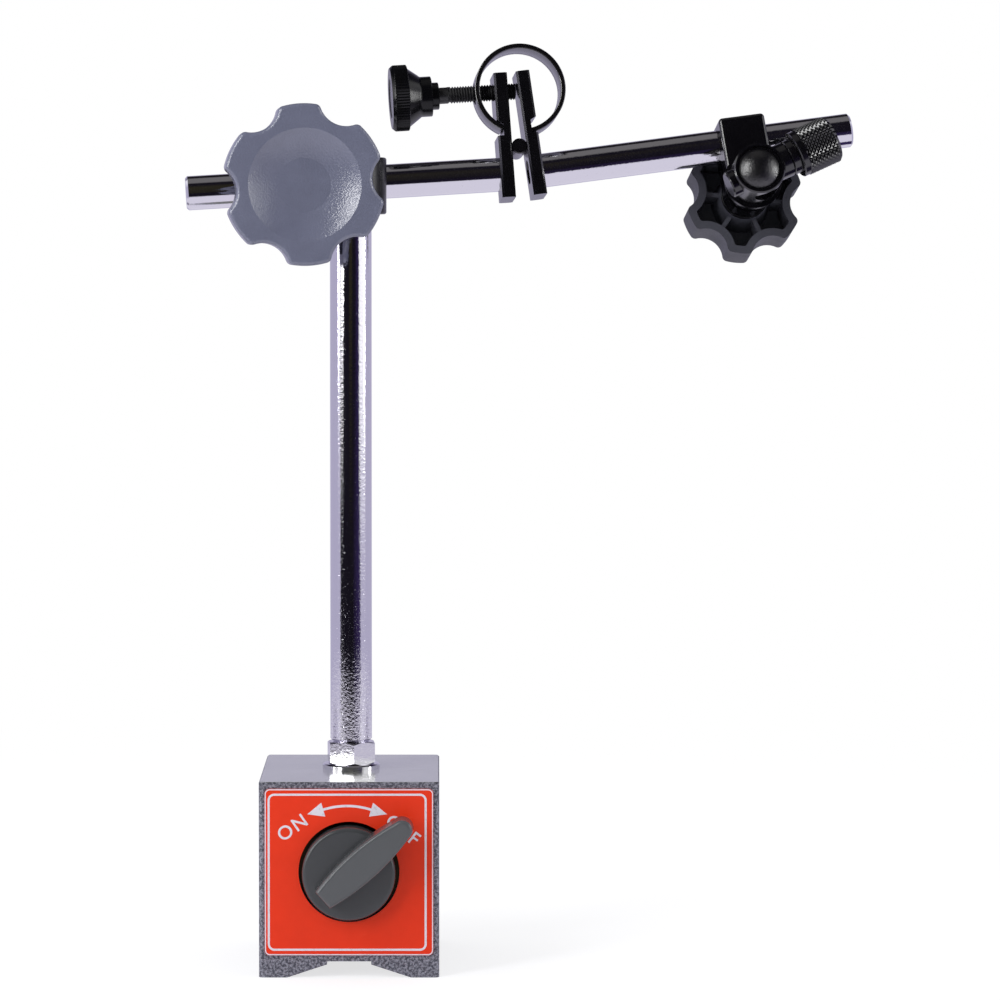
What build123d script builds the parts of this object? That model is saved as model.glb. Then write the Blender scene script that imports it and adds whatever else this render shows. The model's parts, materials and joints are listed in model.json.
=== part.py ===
from build123d import *
from math import cos, radians, sin, sqrt, tan
import os

# Magnetic indicator stand, in millimetres. +X is to the right, +Y away from the viewer and +Z up.
# The origin is the centre of the base's underside. A switchable magnet block carries an upright
# column, a clamp on the column carries a rod, and a sprung fine-adjustment head joins that rod to a
# second one, which ends in a swivelling holder for an indicator's stem.

# Clearances
running = 0.05  # radial clearance of a rod, bolt or stud that turns or slides in its hole
rotor_gap = 0.25  # radial clearance round the turning magnet
knob_gap = 0.1  # clearance between a hand knob and the fixed face next to it

# Magnet block
base_width = 51.0
base_depth = 60.0
base_height = 55.5
base_corner = 1.2
base_edge = 0.4
spacer_width = 3.0
slot_width = 12.5
slot_height = 4.6
slot_lip = 0.9
vee_width = 35.0
rotor_bore = 28.5
rotor_below_top = 25.4

# Magnet rotor, from front to back
front_bearing_length = 3.0
front_bearing_inset = 3.0
front_journal_diameter = 14.0
front_hub_flange = 3.0
rear_hub_flange = 4.0
rear_journal_diameter = 8.0
rear_journal_length = 2.2
rear_plug_length = 3.5
magnet_thickness = 12.0
end_play = 0.3
stop_pin_diameter = 3.0
stop_pin_length = 2.2
stop_track_radius = 9.5
switch_travel = 97.0

# Switch knob and face label
label_side_margin = 1.7
label_top_margin = 1.9
label_bottom_margin = 6.4
label_thickness = 0.5
label_corner = 1.4
knob_disc_diameter = 26.3
knob_disc_proud = 5.3
knob_disc_inset = 2.4
knob_disc_edge = 1.2
lever_height = 6.8
lever_angle = 41.5
lever_tip = 23.3
lever_tail = 9.8
lever_mid_width = 9.8
lever_tail_width = 6.6
lever_tip_width = 6.4
lever_edge = 1.1
drive_square = 8.0
drive_depth = 4.5

# Column, its washer and lock nut
column_diameter = 12.0
column_top = 238.0
column_chamfer = 0.9
stud_diameter = 8.0
stud_depth = 8.6
washer_diameter = 16.6
washer_thickness = 1.6
nut_across_flats = 13.0
nut_height = 6.3
nut_turn = 7.3

# Column clamp and the bolt through its lugs
bolt_height = 223.9
arm_yaw = 5.0
bolt_offset = 14.6
arm_offset = 18.3
clamp_boss_radius = 10.3
clamp_height = 16.3
lug_depth = 18.0
clamp_slit = 1.8
clamp_edge = 0.7
clamp_bolt_diameter = 8.0
eye_diameter = 13.4
eye_back = 8.4
eye_front = 6.6
eye_dome = 1.2
arm_sleeve_wall = 1.3
main_washer_thickness = 1.5
main_washer_diameter = 16.0
sleeve_seat_gap = 0.03

# Main hand knob
main_knob_radius = 22.9
main_knob_valley = 19.2
main_knob_scallop = 7.6
main_knob_thickness = 15.0
main_knob_turn = 4.0
main_knob_wall = 2.8
main_knob_web = 3.2
main_knob_rib = 1.6
main_knob_corner = 1.8
main_knob_edge = 1.2
main_hub_radius = 10.0
main_hub_draft = 6.0
dish_radius = 16.0
dish_curve = 31.8
dish_depth = 3.4
rib_setback = 2.0
main_insert_diameter = 12.0
main_insert_length = 10.0

# Rods
rod_diameter = 10.0
rod_chamfer = 0.6
left_rod_rise = 3.47
left_rod_tail = 32.4
spigot_diameter = 7.0
spigot_inset = 0.4
plate_seat = 59.5
rod_bend = 4.1
right_rod_reach = 98.8

# Fine-adjustment head, measured square to the rod and up from its axis
head_roll = 8.0
plate_thickness = 4.0
plate_depth = 12.0
plate_corner = 0.6
plate_gap = 4.2
pin_above_rod = 7.3
pin_diameter = 4.6
pin_length = 11.4
plate_above_pin = 22.0
plate_below_pin = 14.9
notch_above_pin = 5.3
notch_height = 3.8
notch_depth = 1.8
screw_above_pin = 17.1
ring_outer_radius = 13.4
ring_thickness = 1.4
ring_width = 10.0
ring_above_pin = 17.1
ring_shift = 1.6
ring_hole_diameter = 6.4
ring_tip_gap = 0.05

# Adjusting screw and its knob, measured back from the left plate
screw_diameter = 5.0
screw_tip_gap = 0.12
screw_neck_end = 16.1
knob_step_end = 18.2
knob_boss_end = 21.4
knob_cone_end = 24.5
knob_grip_end = 30.2
knob_step_diameter = 8.0
knob_boss_diameter = 11.8
knob_cone_diameter = 17.5
knob_grip_diameter = 19.4
knob_grip_bevel = 0.9
screw_socket_depth = 10.0

# End clamp on the right rod
end_clamp_reach = 66.0
end_clamp_roll = 6.2
end_clamp_width = 13.7
end_clamp_depth = 16.0
end_clamp_above = 6.8
end_clamp_edge = 1.2
holder_below_rod = 13.5
end_slit = 1.6
friction_washer_diameter = 17.0
friction_washer_thickness = 1.6
thrust_washer_diameter = 14.0
thrust_washer_thickness = 1.2

# Indicator holder
holder_outer_diameter = 15.0
holder_length = 13.4
holder_bore_front = 13.4
holder_bore_depth = 0.9
holder_bolt_diameter = 12.0
holder_dome_height = 2.6
holder_dome_setback = 0.8
holder_head_gap = 1.0
stem_diameter = 8.0
stem_setback = 5.2
thumb_angle = 17.0
stub_diameter = 7.8
stub_reach = 9.4
boss_diameter = 10.3
boss_reach = 9.6
thumb_thread_diameter = 5.0
thumb_collar_diameter = 10.5
thumb_collar_length = 2.5
thumb_grip_diameter = 14.2
thumb_grip_length = 12.2
thumb_grip_bevel = 1.0
thumb_gap = 0.2

# Star knob behind the end clamp
star_radius = 17.5
star_valley = 13.7
star_scallop = 6.3
star_thickness = 13.0
star_turn = 14.0
star_wall = 2.3
star_web = 2.8
star_rib = 1.3
star_corner = 1.6
star_edge = 1.4
star_hub_radius = 8.6
star_hub_draft = 9.0
star_insert_diameter = 10.5
star_insert_length = 9.0

os.makedirs("parts", exist_ok=True)


# Frames that the upper works are placed by
def rod_frame(origin, along, up):
    """A plane whose Z runs along a rod, Y points up and X away from the viewer."""
    return Plane(origin=origin, x_dir=up.cross(along), z_dir=along)


def moved(plane, x=0, y=0, z=0):
    """The same plane with its origin shifted in its own axes."""
    return Plane(origin=plane.from_local_coords(Vector(x, y, z)), x_dir=plane.x_dir, z_dir=plane.z_dir)


def turned(plane, angle):
    """The same plane turned about its own Z."""
    x_dir = plane.x_dir.rotate(Axis(plane.origin, plane.z_dir), angle)
    return Plane(origin=plane.origin, x_dir=x_dir, z_dir=plane.z_dir)


def lathe_plane(plane):
    """The half plane for a turned profile: X is the radius and Y runs along the plane's Z."""
    return Plane(origin=plane.origin, x_dir=plane.x_dir, z_dir=-plane.y_dir)


def spin_axis(plane):
    """The axis of a turned piece in a frame."""
    return Axis(plane.origin, plane.z_dir)


def side_plane(plane):
    """The plane of a rod's side view: X runs along the rod, Y up and Z towards the viewer."""
    return Plane(origin=plane.origin, x_dir=plane.z_dir, z_dir=-plane.x_dir)


rotor_height = base_height - rotor_below_top
rotor_plane = Plane(origin=(0, 0, rotor_height), x_dir=(1, 0, 0), z_dir=(0, -1, 0))
front_face = moved(rotor_plane, z=base_depth / 2)
rear_face = moved(rotor_plane, z=-base_depth / 2)

arm_right = Vector(cos(radians(arm_yaw)), sin(radians(arm_yaw)), 0)
arm_back = Vector(-sin(radians(arm_yaw)), cos(radians(arm_yaw)), 0)
upright = Vector(0, 0, 1)
clamp_centre = Vector(0, 0, bolt_height)
bolt_centre = clamp_centre - arm_right * bolt_offset + arm_back * arm_offset
clamp_plane = Plane(origin=clamp_centre, x_dir=arm_right, z_dir=upright)
bolt_plane = Plane(origin=bolt_centre, x_dir=arm_right, z_dir=-arm_back)

rise = radians(left_rod_rise)
left_along = arm_right * cos(rise) + upright * sin(rise)
left_up = upright * cos(rise) - arm_right * sin(rise)
left_frame = rod_frame(bolt_centre, left_along, left_up)
head_frame = turned(left_frame, -head_roll)
pin_along = plate_seat + plate_thickness + plate_gap / 2
pin_frame = moved(head_frame, y=pin_above_rod, z=pin_along)
tilt_along = pin_frame.z_dir.rotate(Axis(pin_frame.origin, pin_frame.x_dir), -rod_bend)
tilt_frame = Plane(origin=pin_frame.origin, x_dir=pin_frame.x_dir, z_dir=tilt_along)
right_frame = moved(tilt_frame, y=-pin_above_rod)
end_frame = turned(moved(right_frame, z=end_clamp_reach), -end_clamp_roll)

# Levels along the main bolt, from the left rod's axis towards the viewer
lug_back = arm_offset - lug_depth / 2
lug_front = arm_offset + lug_depth / 2
main_washer_front = lug_front + main_washer_thickness
main_knob_back = main_washer_front + knob_gap

# The holder's frame: Z runs towards the viewer, X along the rod and Y up
holder_plane = side_plane(moved(end_frame, y=-holder_below_rod))
washer_back = end_clamp_depth / 2
holder_back = washer_back + friction_washer_thickness
holder_front = holder_back + holder_length
stem_level = holder_front - stem_setback
thumb_frame = Plane(
    origin=moved(holder_plane, z=stem_level).origin,
    x_dir=holder_plane.z_dir,
    z_dir=holder_plane.x_dir * cos(radians(thumb_angle)) + holder_plane.y_dir * sin(radians(thumb_angle)),
)
stem_frame = Plane(origin=thumb_frame.origin, x_dir=holder_plane.z_dir, z_dir=thumb_frame.y_dir)
star_back = -end_clamp_depth / 2 - thrust_washer_thickness - knob_gap

# Levels along the rotor, from the base's front face backwards
bearing_front = front_bearing_inset
bearing_back = bearing_front + front_bearing_length
hub_front = bearing_back + end_play
segment_front = hub_front + front_hub_flange
plug_front = base_depth - rear_plug_length
segment_back = plug_front - end_play - rear_hub_flange
rotor_radius = rotor_bore / 2 - rotor_gap


# Pole shoes: two soft iron halves, the vee and the slot milled into the underside
def pole_shoe(side):
    with BuildPart() as shoe:
        with BuildSketch(Plane.XZ):
            with BuildLine():
                Polyline(
                    (side * spacer_width / 2, slot_height),
                    (side * slot_width / 2, slot_height),
                    (side * slot_width / 2, slot_height - slot_lip),
                    (side * vee_width / 2, 0),
                    (side * base_width / 2, 0),
                    (side * base_width / 2, base_height),
                    (side * spacer_width / 2, base_height),
                    close=True,
                )
            make_face()
        extrude(amount=base_depth / 2, both=True)
        corners = shoe.edges().filter_by(Axis.Z).group_by(Axis.X)[0 if side < 0 else -1]
        fillet(corners, base_corner)
        rims = shoe.faces().sort_by(Axis.Z)[-1].outer_wire().edges()
        inner = side * spacer_width / 2
        chamfer([e for e in rims if abs(e.center().X - inner) > base_edge], base_edge)
        with BuildSketch(rotor_plane):
            Circle(rotor_bore / 2)
        extrude(amount=base_depth / 2, both=True, mode=Mode.SUBTRACT)
        with BuildSketch(Plane.XY.offset(base_height)):
            Circle(stud_diameter / 2 + running)
        extrude(amount=-stud_depth - end_play, mode=Mode.SUBTRACT)
    return shoe


left_pole_shoe = pole_shoe(-1)
left_pole_shoe.part.label = "left_pole_shoe"
export_step(left_pole_shoe.part, "parts/left_pole_shoe.step")

right_pole_shoe = pole_shoe(1)
right_pole_shoe.part.label = "right_pole_shoe"
export_step(right_pole_shoe.part, "parts/right_pole_shoe.step")

# Upper spacer: the non-magnetic strip between the halves, over the rotor bore
with BuildPart() as upper_spacer:
    with BuildSketch(Plane.XY.offset(rotor_height)):
        Rectangle(spacer_width, base_depth)
    extrude(amount=base_height - rotor_height)
    chamfer(upper_spacer.faces().sort_by(Axis.Z)[-1].edges().filter_by(Axis.X), base_edge)
    with BuildSketch(rotor_plane):
        Circle(rotor_bore / 2)
    extrude(amount=base_depth / 2, both=True, mode=Mode.SUBTRACT)
    with BuildSketch(Plane.XY.offset(base_height)):
        Circle(stud_diameter / 2 + running)
    extrude(amount=-stud_depth - end_play, mode=Mode.SUBTRACT)
upper_spacer.part.label = "upper_spacer"
export_step(upper_spacer.part, "parts/upper_spacer.step")

# Lower spacer: the same strip under the bore, flush with the slot's ceiling
with BuildPart() as lower_spacer:
    with BuildSketch(Plane.XY.offset(slot_height)):
        Rectangle(spacer_width, base_depth)
    extrude(amount=rotor_height - slot_height)
    with BuildSketch(rotor_plane):
        Circle(rotor_bore / 2)
    extrude(amount=base_depth / 2, both=True, mode=Mode.SUBTRACT)
lower_spacer.part.label = "lower_spacer"
export_step(lower_spacer.part, "parts/lower_spacer.step")

# Rear plug: closes the bore and carries the rotor's rear journal in a blind hole
with BuildPart() as rear_plug:
    with BuildSketch(rear_face):
        Circle(rotor_bore / 2)
    extrude(amount=rear_plug_length)
    chamfer(rear_plug.faces().sort_by(Axis.Y)[-1].edges(), base_edge)
    with BuildSketch(moved(rear_face, z=rear_plug_length)):
        Circle(rear_journal_diameter / 2 + running)
    extrude(amount=-rear_journal_length - end_play, mode=Mode.SUBTRACT)
    with BuildSketch(moved(rear_face, z=rear_plug_length)):
        with Locations((0, -stop_track_radius)):
            Circle(stop_pin_diameter / 2)
    extrude(amount=-stop_pin_length, mode=Mode.SUBTRACT)
rear_plug.part.label = "rear_plug"
export_step(rear_plug.part, "parts/rear_plug.step")

# Stop pin: pressed into the plug, it ends the rotor's travel in the hub's curved track
with BuildPart() as stop_pin:
    with BuildSketch(moved(rear_face, z=rear_plug_length - stop_pin_length)):
        with Locations((0, -stop_track_radius)):
            Circle(stop_pin_diameter / 2)
    extrude(amount=2 * stop_pin_length)
stop_pin.part.label = "stop_pin"
export_step(stop_pin.part, "parts/stop_pin.step")

# Front bearing: a brass ring pressed into the bore, which keeps the rotor in
with BuildPart() as front_bearing:
    with BuildSketch(moved(front_face, z=-bearing_front)):
        Circle(rotor_bore / 2)
        Circle(front_journal_diameter / 2 + running, mode=Mode.SUBTRACT)
    extrude(amount=-front_bearing_length)
front_bearing.part.label = "front_bearing"
export_step(front_bearing.part, "parts/front_bearing.step")

# Rotor magnet: a flat slab between two iron segments
segment_length = segment_back - segment_front
with BuildPart() as rotor_magnet:
    with BuildSketch(moved(front_face, z=-segment_front)):
        Circle(rotor_radius)
        Rectangle(rotor_bore, magnet_thickness, mode=Mode.INTERSECT)
    extrude(amount=-segment_length)
rotor_magnet.part.label = "rotor_magnet"
export_step(rotor_magnet.part, "parts/rotor_magnet.step")


# Rotor segments: the iron poles on either face of the magnet
def rotor_segment(side):
    with BuildPart() as segment:
        with BuildSketch(moved(front_face, z=-segment_front)):
            Circle(rotor_radius)
            with Locations((0, side * (rotor_bore + magnet_thickness) / 2)):
                Rectangle(2 * rotor_bore, rotor_bore, mode=Mode.INTERSECT)
        extrude(amount=-segment_length)
    return segment


rotor_upper_segment = rotor_segment(1)
rotor_upper_segment.part.label = "rotor_upper_segment"
export_step(rotor_upper_segment.part, "parts/rotor_upper_segment.step")

rotor_lower_segment = rotor_segment(-1)
rotor_lower_segment.part.label = "rotor_lower_segment"
export_step(rotor_lower_segment.part, "parts/rotor_lower_segment.step")

# Front hub: flange against the magnet, journal through the bearing, square socket for the knob
with BuildPart() as rotor_front_hub:
    with BuildSketch(moved(front_face, z=-segment_front)):
        Circle(rotor_radius)
    extrude(amount=front_hub_flange)
    with BuildSketch(moved(front_face, z=-hub_front)):
        Circle(front_journal_diameter / 2)
    extrude(amount=hub_front - knob_disc_inset)
    with BuildSketch(moved(front_face, z=-knob_disc_inset)):
        Rectangle(drive_square, drive_square)
    extrude(amount=-drive_depth - end_play, mode=Mode.SUBTRACT)
rotor_front_hub.part.label = "rotor_front_hub"
export_step(rotor_front_hub.part, "parts/rotor_front_hub.step")

# Rear hub: flange with the curved stop track, and the rear journal. The track is as long as the
# switch's travel plus the pin, and it starts at the pin with the switch off.
track_width = stop_pin_diameter + 2 * running
hub_back = moved(front_face, z=-segment_back - rear_hub_flange)
track_line = CenterArc((0, 0), stop_track_radius, -90, -switch_travel)
with BuildPart() as rotor_rear_hub:
    with BuildSketch(moved(front_face, z=-segment_back)):
        Circle(rotor_radius)
    extrude(amount=-rear_hub_flange)
    with BuildSketch(hub_back):
        Circle(rear_journal_diameter / 2)
    extrude(amount=-rear_journal_length - end_play)
    with BuildSketch(hub_back):
        SlotArc(track_line, track_width)
    extrude(amount=stop_pin_length, mode=Mode.SUBTRACT)
rotor_rear_hub.part.label = "rotor_rear_hub"
export_step(rotor_rear_hub.part, "parts/rotor_rear_hub.step")

# Switch knob: a round disc with a tapered lever across it, seen in the off position
lever_plane = turned(moved(front_face, z=knob_disc_proud), lever_angle)
lever_shoulder = lever_tip - lever_tip_width / 2
lever_middle = (lever_tip - lever_tail) / 2
with BuildPart() as switch_knob:
    with BuildSketch(moved(front_face, z=-knob_disc_inset)):
        Circle(knob_disc_diameter / 2)
    extrude(amount=knob_disc_inset + knob_disc_proud)
    fillet(switch_knob.faces().sort_by(Axis.Y)[0].edges(), knob_disc_edge)
    with BuildSketch(moved(front_face, z=-knob_disc_inset)):
        Rectangle(drive_square, drive_square)
    extrude(amount=-drive_depth)
    with BuildSketch(lever_plane):
        with BuildLine():
            ThreePointArc(
                (-lever_tail, lever_tail_width / 2),
                (lever_middle, lever_mid_width / 2),
                (lever_shoulder, lever_tip_width / 2),
            )
            ThreePointArc(
                (lever_shoulder, lever_tip_width / 2), (lever_tip, 0), (lever_shoulder, -lever_tip_width / 2)
            )
            ThreePointArc(
                (lever_shoulder, -lever_tip_width / 2),
                (lever_middle, -lever_mid_width / 2),
                (-lever_tail, -lever_tail_width / 2),
            )
            Line((-lever_tail, -lever_tail_width / 2), (-lever_tail, lever_tail_width / 2))
        make_face()
    extrude(amount=lever_height, taper=3)
    fillet(switch_knob.faces().sort_by(Axis.Y)[0].edges(), lever_edge)
switch_knob.part.label = "switch_knob"
export_step(switch_knob.part, "parts/switch_knob.step")

# Face label: a thin plate on the front, round the switch
label_width = base_width - 2 * label_side_margin
label_height = base_height - label_top_margin - label_bottom_margin
label_centre_height = label_bottom_margin + label_height / 2
with BuildPart() as face_label:
    with BuildSketch(front_face):
        with Locations((0, label_centre_height - rotor_height)):
            RectangleRounded(label_width, label_height, label_corner)
        Circle(rotor_bore / 2, mode=Mode.SUBTRACT)
    extrude(amount=label_thickness)
face_label.part.label = "face_label"
export_step(face_label.part, "parts/face_label.step")

# Column washer and lock nut on top of the base
nut_bottom = base_height + washer_thickness
column_bottom = nut_bottom + nut_height
with BuildPart() as column_washer:
    with BuildSketch(Plane.XY.offset(base_height)):
        Circle(washer_diameter / 2)
        Circle(stud_diameter / 2 + running, mode=Mode.SUBTRACT)
    extrude(amount=washer_thickness)
    chamfer(column_washer.faces().sort_by(Axis.Z)[-1].outer_wire().edges(), base_edge)
column_washer.part.label = "column_washer"
export_step(column_washer.part, "parts/column_washer.step")

nut_across_corners = nut_across_flats / cos(radians(30))
with BuildPart() as lock_nut:
    with BuildSketch(Plane.XY.offset(nut_bottom)):
        RegularPolygon(nut_across_corners / 2, 6, rotation=30 + nut_turn)
        Circle(stud_diameter / 2 + running, mode=Mode.SUBTRACT)
    extrude(amount=nut_height)
    corner_drop = (nut_across_corners - nut_across_flats) / 2 * tan(radians(30))
    with BuildSketch(Plane.XZ):
        with BuildLine():
            Polyline(
                (0, nut_bottom),
                (nut_across_flats / 2, nut_bottom),
                (nut_across_corners / 2, nut_bottom + corner_drop),
                (nut_across_corners / 2, column_bottom - corner_drop),
                (nut_across_flats / 2, column_bottom),
                (0, column_bottom),
                close=True,
            )
        make_face()
    revolve(axis=Axis.Z, mode=Mode.INTERSECT)
lock_nut.part.label = "lock_nut"
export_step(lock_nut.part, "parts/lock_nut.step")

# Column: a plain bar with a threaded stud at its lower end
with BuildPart() as column:
    with BuildSketch(Plane.XZ):
        with BuildLine():
            Polyline(
                (0, base_height - stud_depth),
                (stud_diameter / 2 - column_chamfer, base_height - stud_depth),
                (stud_diameter / 2, base_height - stud_depth + column_chamfer),
                (stud_diameter / 2, column_bottom),
                (column_diameter / 2 - column_chamfer, column_bottom),
                (column_diameter / 2, column_bottom + column_chamfer),
                (column_diameter / 2, column_top - column_chamfer),
                (column_diameter / 2 - column_chamfer, column_top),
                (0, column_top),
                close=True,
            )
        make_face()
    revolve(axis=Axis.Z)
column.part.label = "column"
export_step(column.part, "parts/column.step")

# Column clamp: a split boss round the column with two lugs, drawn together by the main bolt
with BuildPart() as column_clamp:
    with BuildSketch(clamp_plane.offset(-clamp_height / 2)):
        Circle(clamp_boss_radius)
    extrude(amount=clamp_height)
    with BuildSketch(moved(bolt_plane, z=lug_back)):
        Circle(clamp_height / 2)
        with Locations((bolt_offset / 2, 0)):
            Rectangle(bolt_offset, clamp_height)
    extrude(amount=lug_depth)
    rims = column_clamp.faces().filter_by(Axis.Z).edges().filter_by(GeomType.CIRCLE)
    fillet(rims, clamp_edge)
    with BuildSketch(clamp_plane):
        Circle(column_diameter / 2 + running)
        with Locations((-bolt_offset, 0)):
            Rectangle(2 * bolt_offset, clamp_slit)
    extrude(amount=clamp_height, both=True, mode=Mode.SUBTRACT)
    with BuildSketch(bolt_plane):
        Circle(clamp_bolt_diameter / 2 + 2 * running)
    extrude(amount=lug_front, mode=Mode.SUBTRACT)
column_clamp.part.label = "column_clamp"
export_step(column_clamp.part, "parts/column_clamp.step")

# Main washer between the front lug and the hand knob
with BuildPart() as main_washer:
    with BuildSketch(moved(bolt_plane, z=lug_front)):
        Circle(main_washer_diameter / 2)
        Circle(clamp_bolt_diameter / 2 + 2 * running, mode=Mode.SUBTRACT)
    extrude(amount=main_washer_thickness)
main_washer.part.label = "main_washer"
export_step(main_washer.part, "parts/main_washer.step")

# Main eye bolt: its cross hole carries the left rod and its shank runs through the lugs
main_bolt_end = main_knob_back + main_insert_length - knob_gap
with BuildPart() as main_eye_bolt:
    with BuildSketch(lathe_plane(bolt_plane)):
        with BuildLine():
            Polyline(
                (0, -eye_back),
                (eye_diameter / 2 - eye_dome, -eye_back),
                (eye_diameter / 2, -eye_back + eye_dome),
                (eye_diameter / 2, eye_front),
                (clamp_bolt_diameter / 2, eye_front),
                (clamp_bolt_diameter / 2, main_bolt_end - rod_chamfer),
                (clamp_bolt_diameter / 2 - rod_chamfer, main_bolt_end),
                (0, main_bolt_end),
                close=True,
            )
        make_face()
    revolve(axis=spin_axis(bolt_plane))
    with BuildSketch(left_frame):
        Circle(rod_diameter / 2 + running)
    extrude(amount=eye_diameter, both=True, mode=Mode.SUBTRACT)
main_eye_bolt.part.label = "main_eye_bolt"
export_step(main_eye_bolt.part, "parts/main_eye_bolt.step")

# Arm sleeve: it rides on the eye and presses the rod back when the knob is tightened
with BuildPart() as arm_sleeve:
    with BuildSketch(moved(bolt_plane, z=lug_back - sleeve_seat_gap)):
        Circle(eye_diameter / 2 + running + arm_sleeve_wall)
        Circle(eye_diameter / 2 + running, mode=Mode.SUBTRACT)
    extrude(amount=-lug_back + sleeve_seat_gap)
    with BuildSketch(left_frame):
        Circle(rod_diameter / 2 + running)
    extrude(amount=eye_diameter, both=True, mode=Mode.SUBTRACT)
arm_sleeve.part.label = "arm_sleeve"
export_step(arm_sleeve.part, "parts/arm_sleeve.step")


# Hand knobs: a moulded shell with six lobes, open at the back, where a tapered hub holds the insert
# and a rib runs to each valley. It is drawn lying on its open back, with the closed front up.
def hand_knob(radius, valley, scallop, corner, thickness, edge, hollow, wall, hub, rib, insert):
    hub_radius, hub_draft = hub
    insert_diameter, insert_length = insert
    with BuildPart() as knob:
        with BuildSketch() as outline:
            Circle(radius)
            with PolarLocations(valley + scallop, 6):
                Circle(scallop, mode=Mode.SUBTRACT)
            fillet(outline.vertices(), corner)
        extrude(amount=thickness)
        fillet(knob.faces().sort_by(Axis.Z)[-1].edges(), edge)
        with BuildSketch() as cavity:
            Circle(radius - wall)
            with PolarLocations(valley + scallop, 6):
                Circle(scallop + wall, mode=Mode.SUBTRACT)
            fillet(cavity.vertices(), corner / 2)
        extrude(amount=hollow, mode=Mode.SUBTRACT)
        with BuildSketch(Plane.XY.offset(hollow)):
            Circle(hub_radius)
        extrude(amount=-hollow, taper=hub_draft)
        with BuildSketch(Plane.XY.offset(hollow)):
            with PolarLocations((valley - wall / 2) / 2, 6):
                Rectangle(valley - wall / 2, rib)
        extrude(amount=rib_setback - hollow)
        with BuildSketch():
            Circle(insert_diameter / 2)
        extrude(amount=insert_length, mode=Mode.SUBTRACT)
    return knob


# Main knob: its closed front is dished
main_knob_frame = turned(moved(bolt_plane, z=main_knob_back), main_knob_turn)
main_shell = hand_knob(
    radius=main_knob_radius,
    valley=main_knob_valley,
    scallop=main_knob_scallop,
    corner=main_knob_corner,
    thickness=main_knob_thickness,
    edge=main_knob_edge,
    hollow=main_knob_thickness - dish_depth - main_knob_web,
    wall=main_knob_wall,
    hub=(main_hub_radius, main_hub_draft),
    rib=main_knob_rib,
    insert=(main_insert_diameter, main_insert_length),
)
dish_level = main_knob_thickness - dish_depth
dish_centre = main_knob_thickness + sqrt(dish_curve**2 - dish_radius**2)
with BuildPart() as dished_shell:
    add(main_shell.part)
    with BuildSketch(Plane.XZ):
        with Locations((0, dish_centre)):
            Circle(dish_curve)
        with Locations((dish_curve / 2, dish_level + dish_curve)):
            Rectangle(dish_curve, 2 * dish_curve, mode=Mode.INTERSECT)
    revolve(axis=Axis.Z, mode=Mode.SUBTRACT)
with BuildPart() as main_knob:
    with Locations(main_knob_frame.location):
        add(dished_shell.part)
main_knob.part.label = "main_knob"
export_step(main_knob.part, "parts/main_knob.step")

# Main knob insert: the threaded metal bush moulded into the knob
with BuildPart() as main_knob_insert:
    with BuildSketch(main_knob_frame):
        Circle(main_insert_diameter / 2)
        Circle(clamp_bolt_diameter / 2 + running, mode=Mode.SUBTRACT)
    extrude(amount=main_insert_length)
main_knob_insert.part.label = "main_knob_insert"
export_step(main_knob_insert.part, "parts/main_knob_insert.step")

# Left rod: it slides in the eye, and its spigot is fixed in the left plate
spigot_length = plate_thickness - spigot_inset
with BuildPart() as left_rod:
    with BuildSketch(moved(left_frame, z=-left_rod_tail)):
        Circle(rod_diameter / 2)
    extrude(amount=left_rod_tail + plate_seat)
    chamfer(left_rod.faces().sort_by(spin_axis(left_frame))[0].edges(), rod_chamfer)
    with BuildSketch(moved(left_frame, z=plate_seat)):
        Circle(spigot_diameter / 2)
    extrude(amount=spigot_length)
left_rod.part.label = "left_rod"
export_step(left_rod.part, "parts/left_rod.step")


# Head plates: flat bars square to their rods, with a seat for the fulcrum pin on the inner face
# and a notch for the spring ring on the outer one
def plate_blank(frame, outward, seat_radius):
    """A plate whose middle stands off the pin's axis by half the gap, to one side of it."""
    height = plate_above_pin + plate_below_pin
    inner_face = outward * plate_gap / 2
    outer_face = outward * (plate_gap / 2 + plate_thickness)
    notch_floor = outer_face - outward * notch_depth
    with BuildPart() as blank:
        with BuildSketch(moved(frame, z=inner_face)):
            with Locations((0, (plate_above_pin - plate_below_pin) / 2)):
                Rectangle(plate_depth, height)
        extrude(amount=outward * plate_thickness)
        chamfer(blank.edges().filter_by(lambda edge: abs(edge.length - height) < running), plate_corner)
        with BuildSketch(side_plane(frame)):
            Circle(seat_radius)
            with BuildLine():
                Polyline(
                    (outer_face, notch_above_pin - notch_height / 2),
                    (outer_face, notch_above_pin + notch_height / 2 + notch_depth / 2),
                    (notch_floor, notch_above_pin + notch_height / 2),
                    (notch_floor, notch_above_pin - notch_height / 2),
                    close=True,
                )
            make_face()
        extrude(amount=plate_depth, both=True, mode=Mode.SUBTRACT)
    return blank


# Left plate: tapped for the adjusting screw, and fixed on the left rod's spigot
left_blank = plate_blank(pin_frame, -1, pin_diameter / 2)
with BuildPart() as left_plate:
    add(left_blank.part)
    with BuildSketch(pin_frame):
        with Locations((0, screw_above_pin)):
            Circle(screw_diameter / 2 + running)
    extrude(amount=-2 * plate_thickness, mode=Mode.SUBTRACT)
    with BuildSketch(moved(left_frame, z=plate_seat)):
        Circle(spigot_diameter / 2)
    extrude(amount=plate_thickness, mode=Mode.SUBTRACT)
left_plate.part.label = "left_plate"
export_step(left_plate.part, "parts/left_plate.step")

# Right plate: it rocks on the fulcrum pin and carries the right rod
right_blank = plate_blank(tilt_frame, 1, pin_diameter / 2 + running)
with BuildPart() as right_plate:
    add(right_blank.part)
    with BuildSketch(right_frame):
        Circle(spigot_diameter / 2 + running)
    extrude(amount=2 * plate_thickness, mode=Mode.SUBTRACT)
right_plate.part.label = "right_plate"
export_step(right_plate.part, "parts/right_plate.step")

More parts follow.
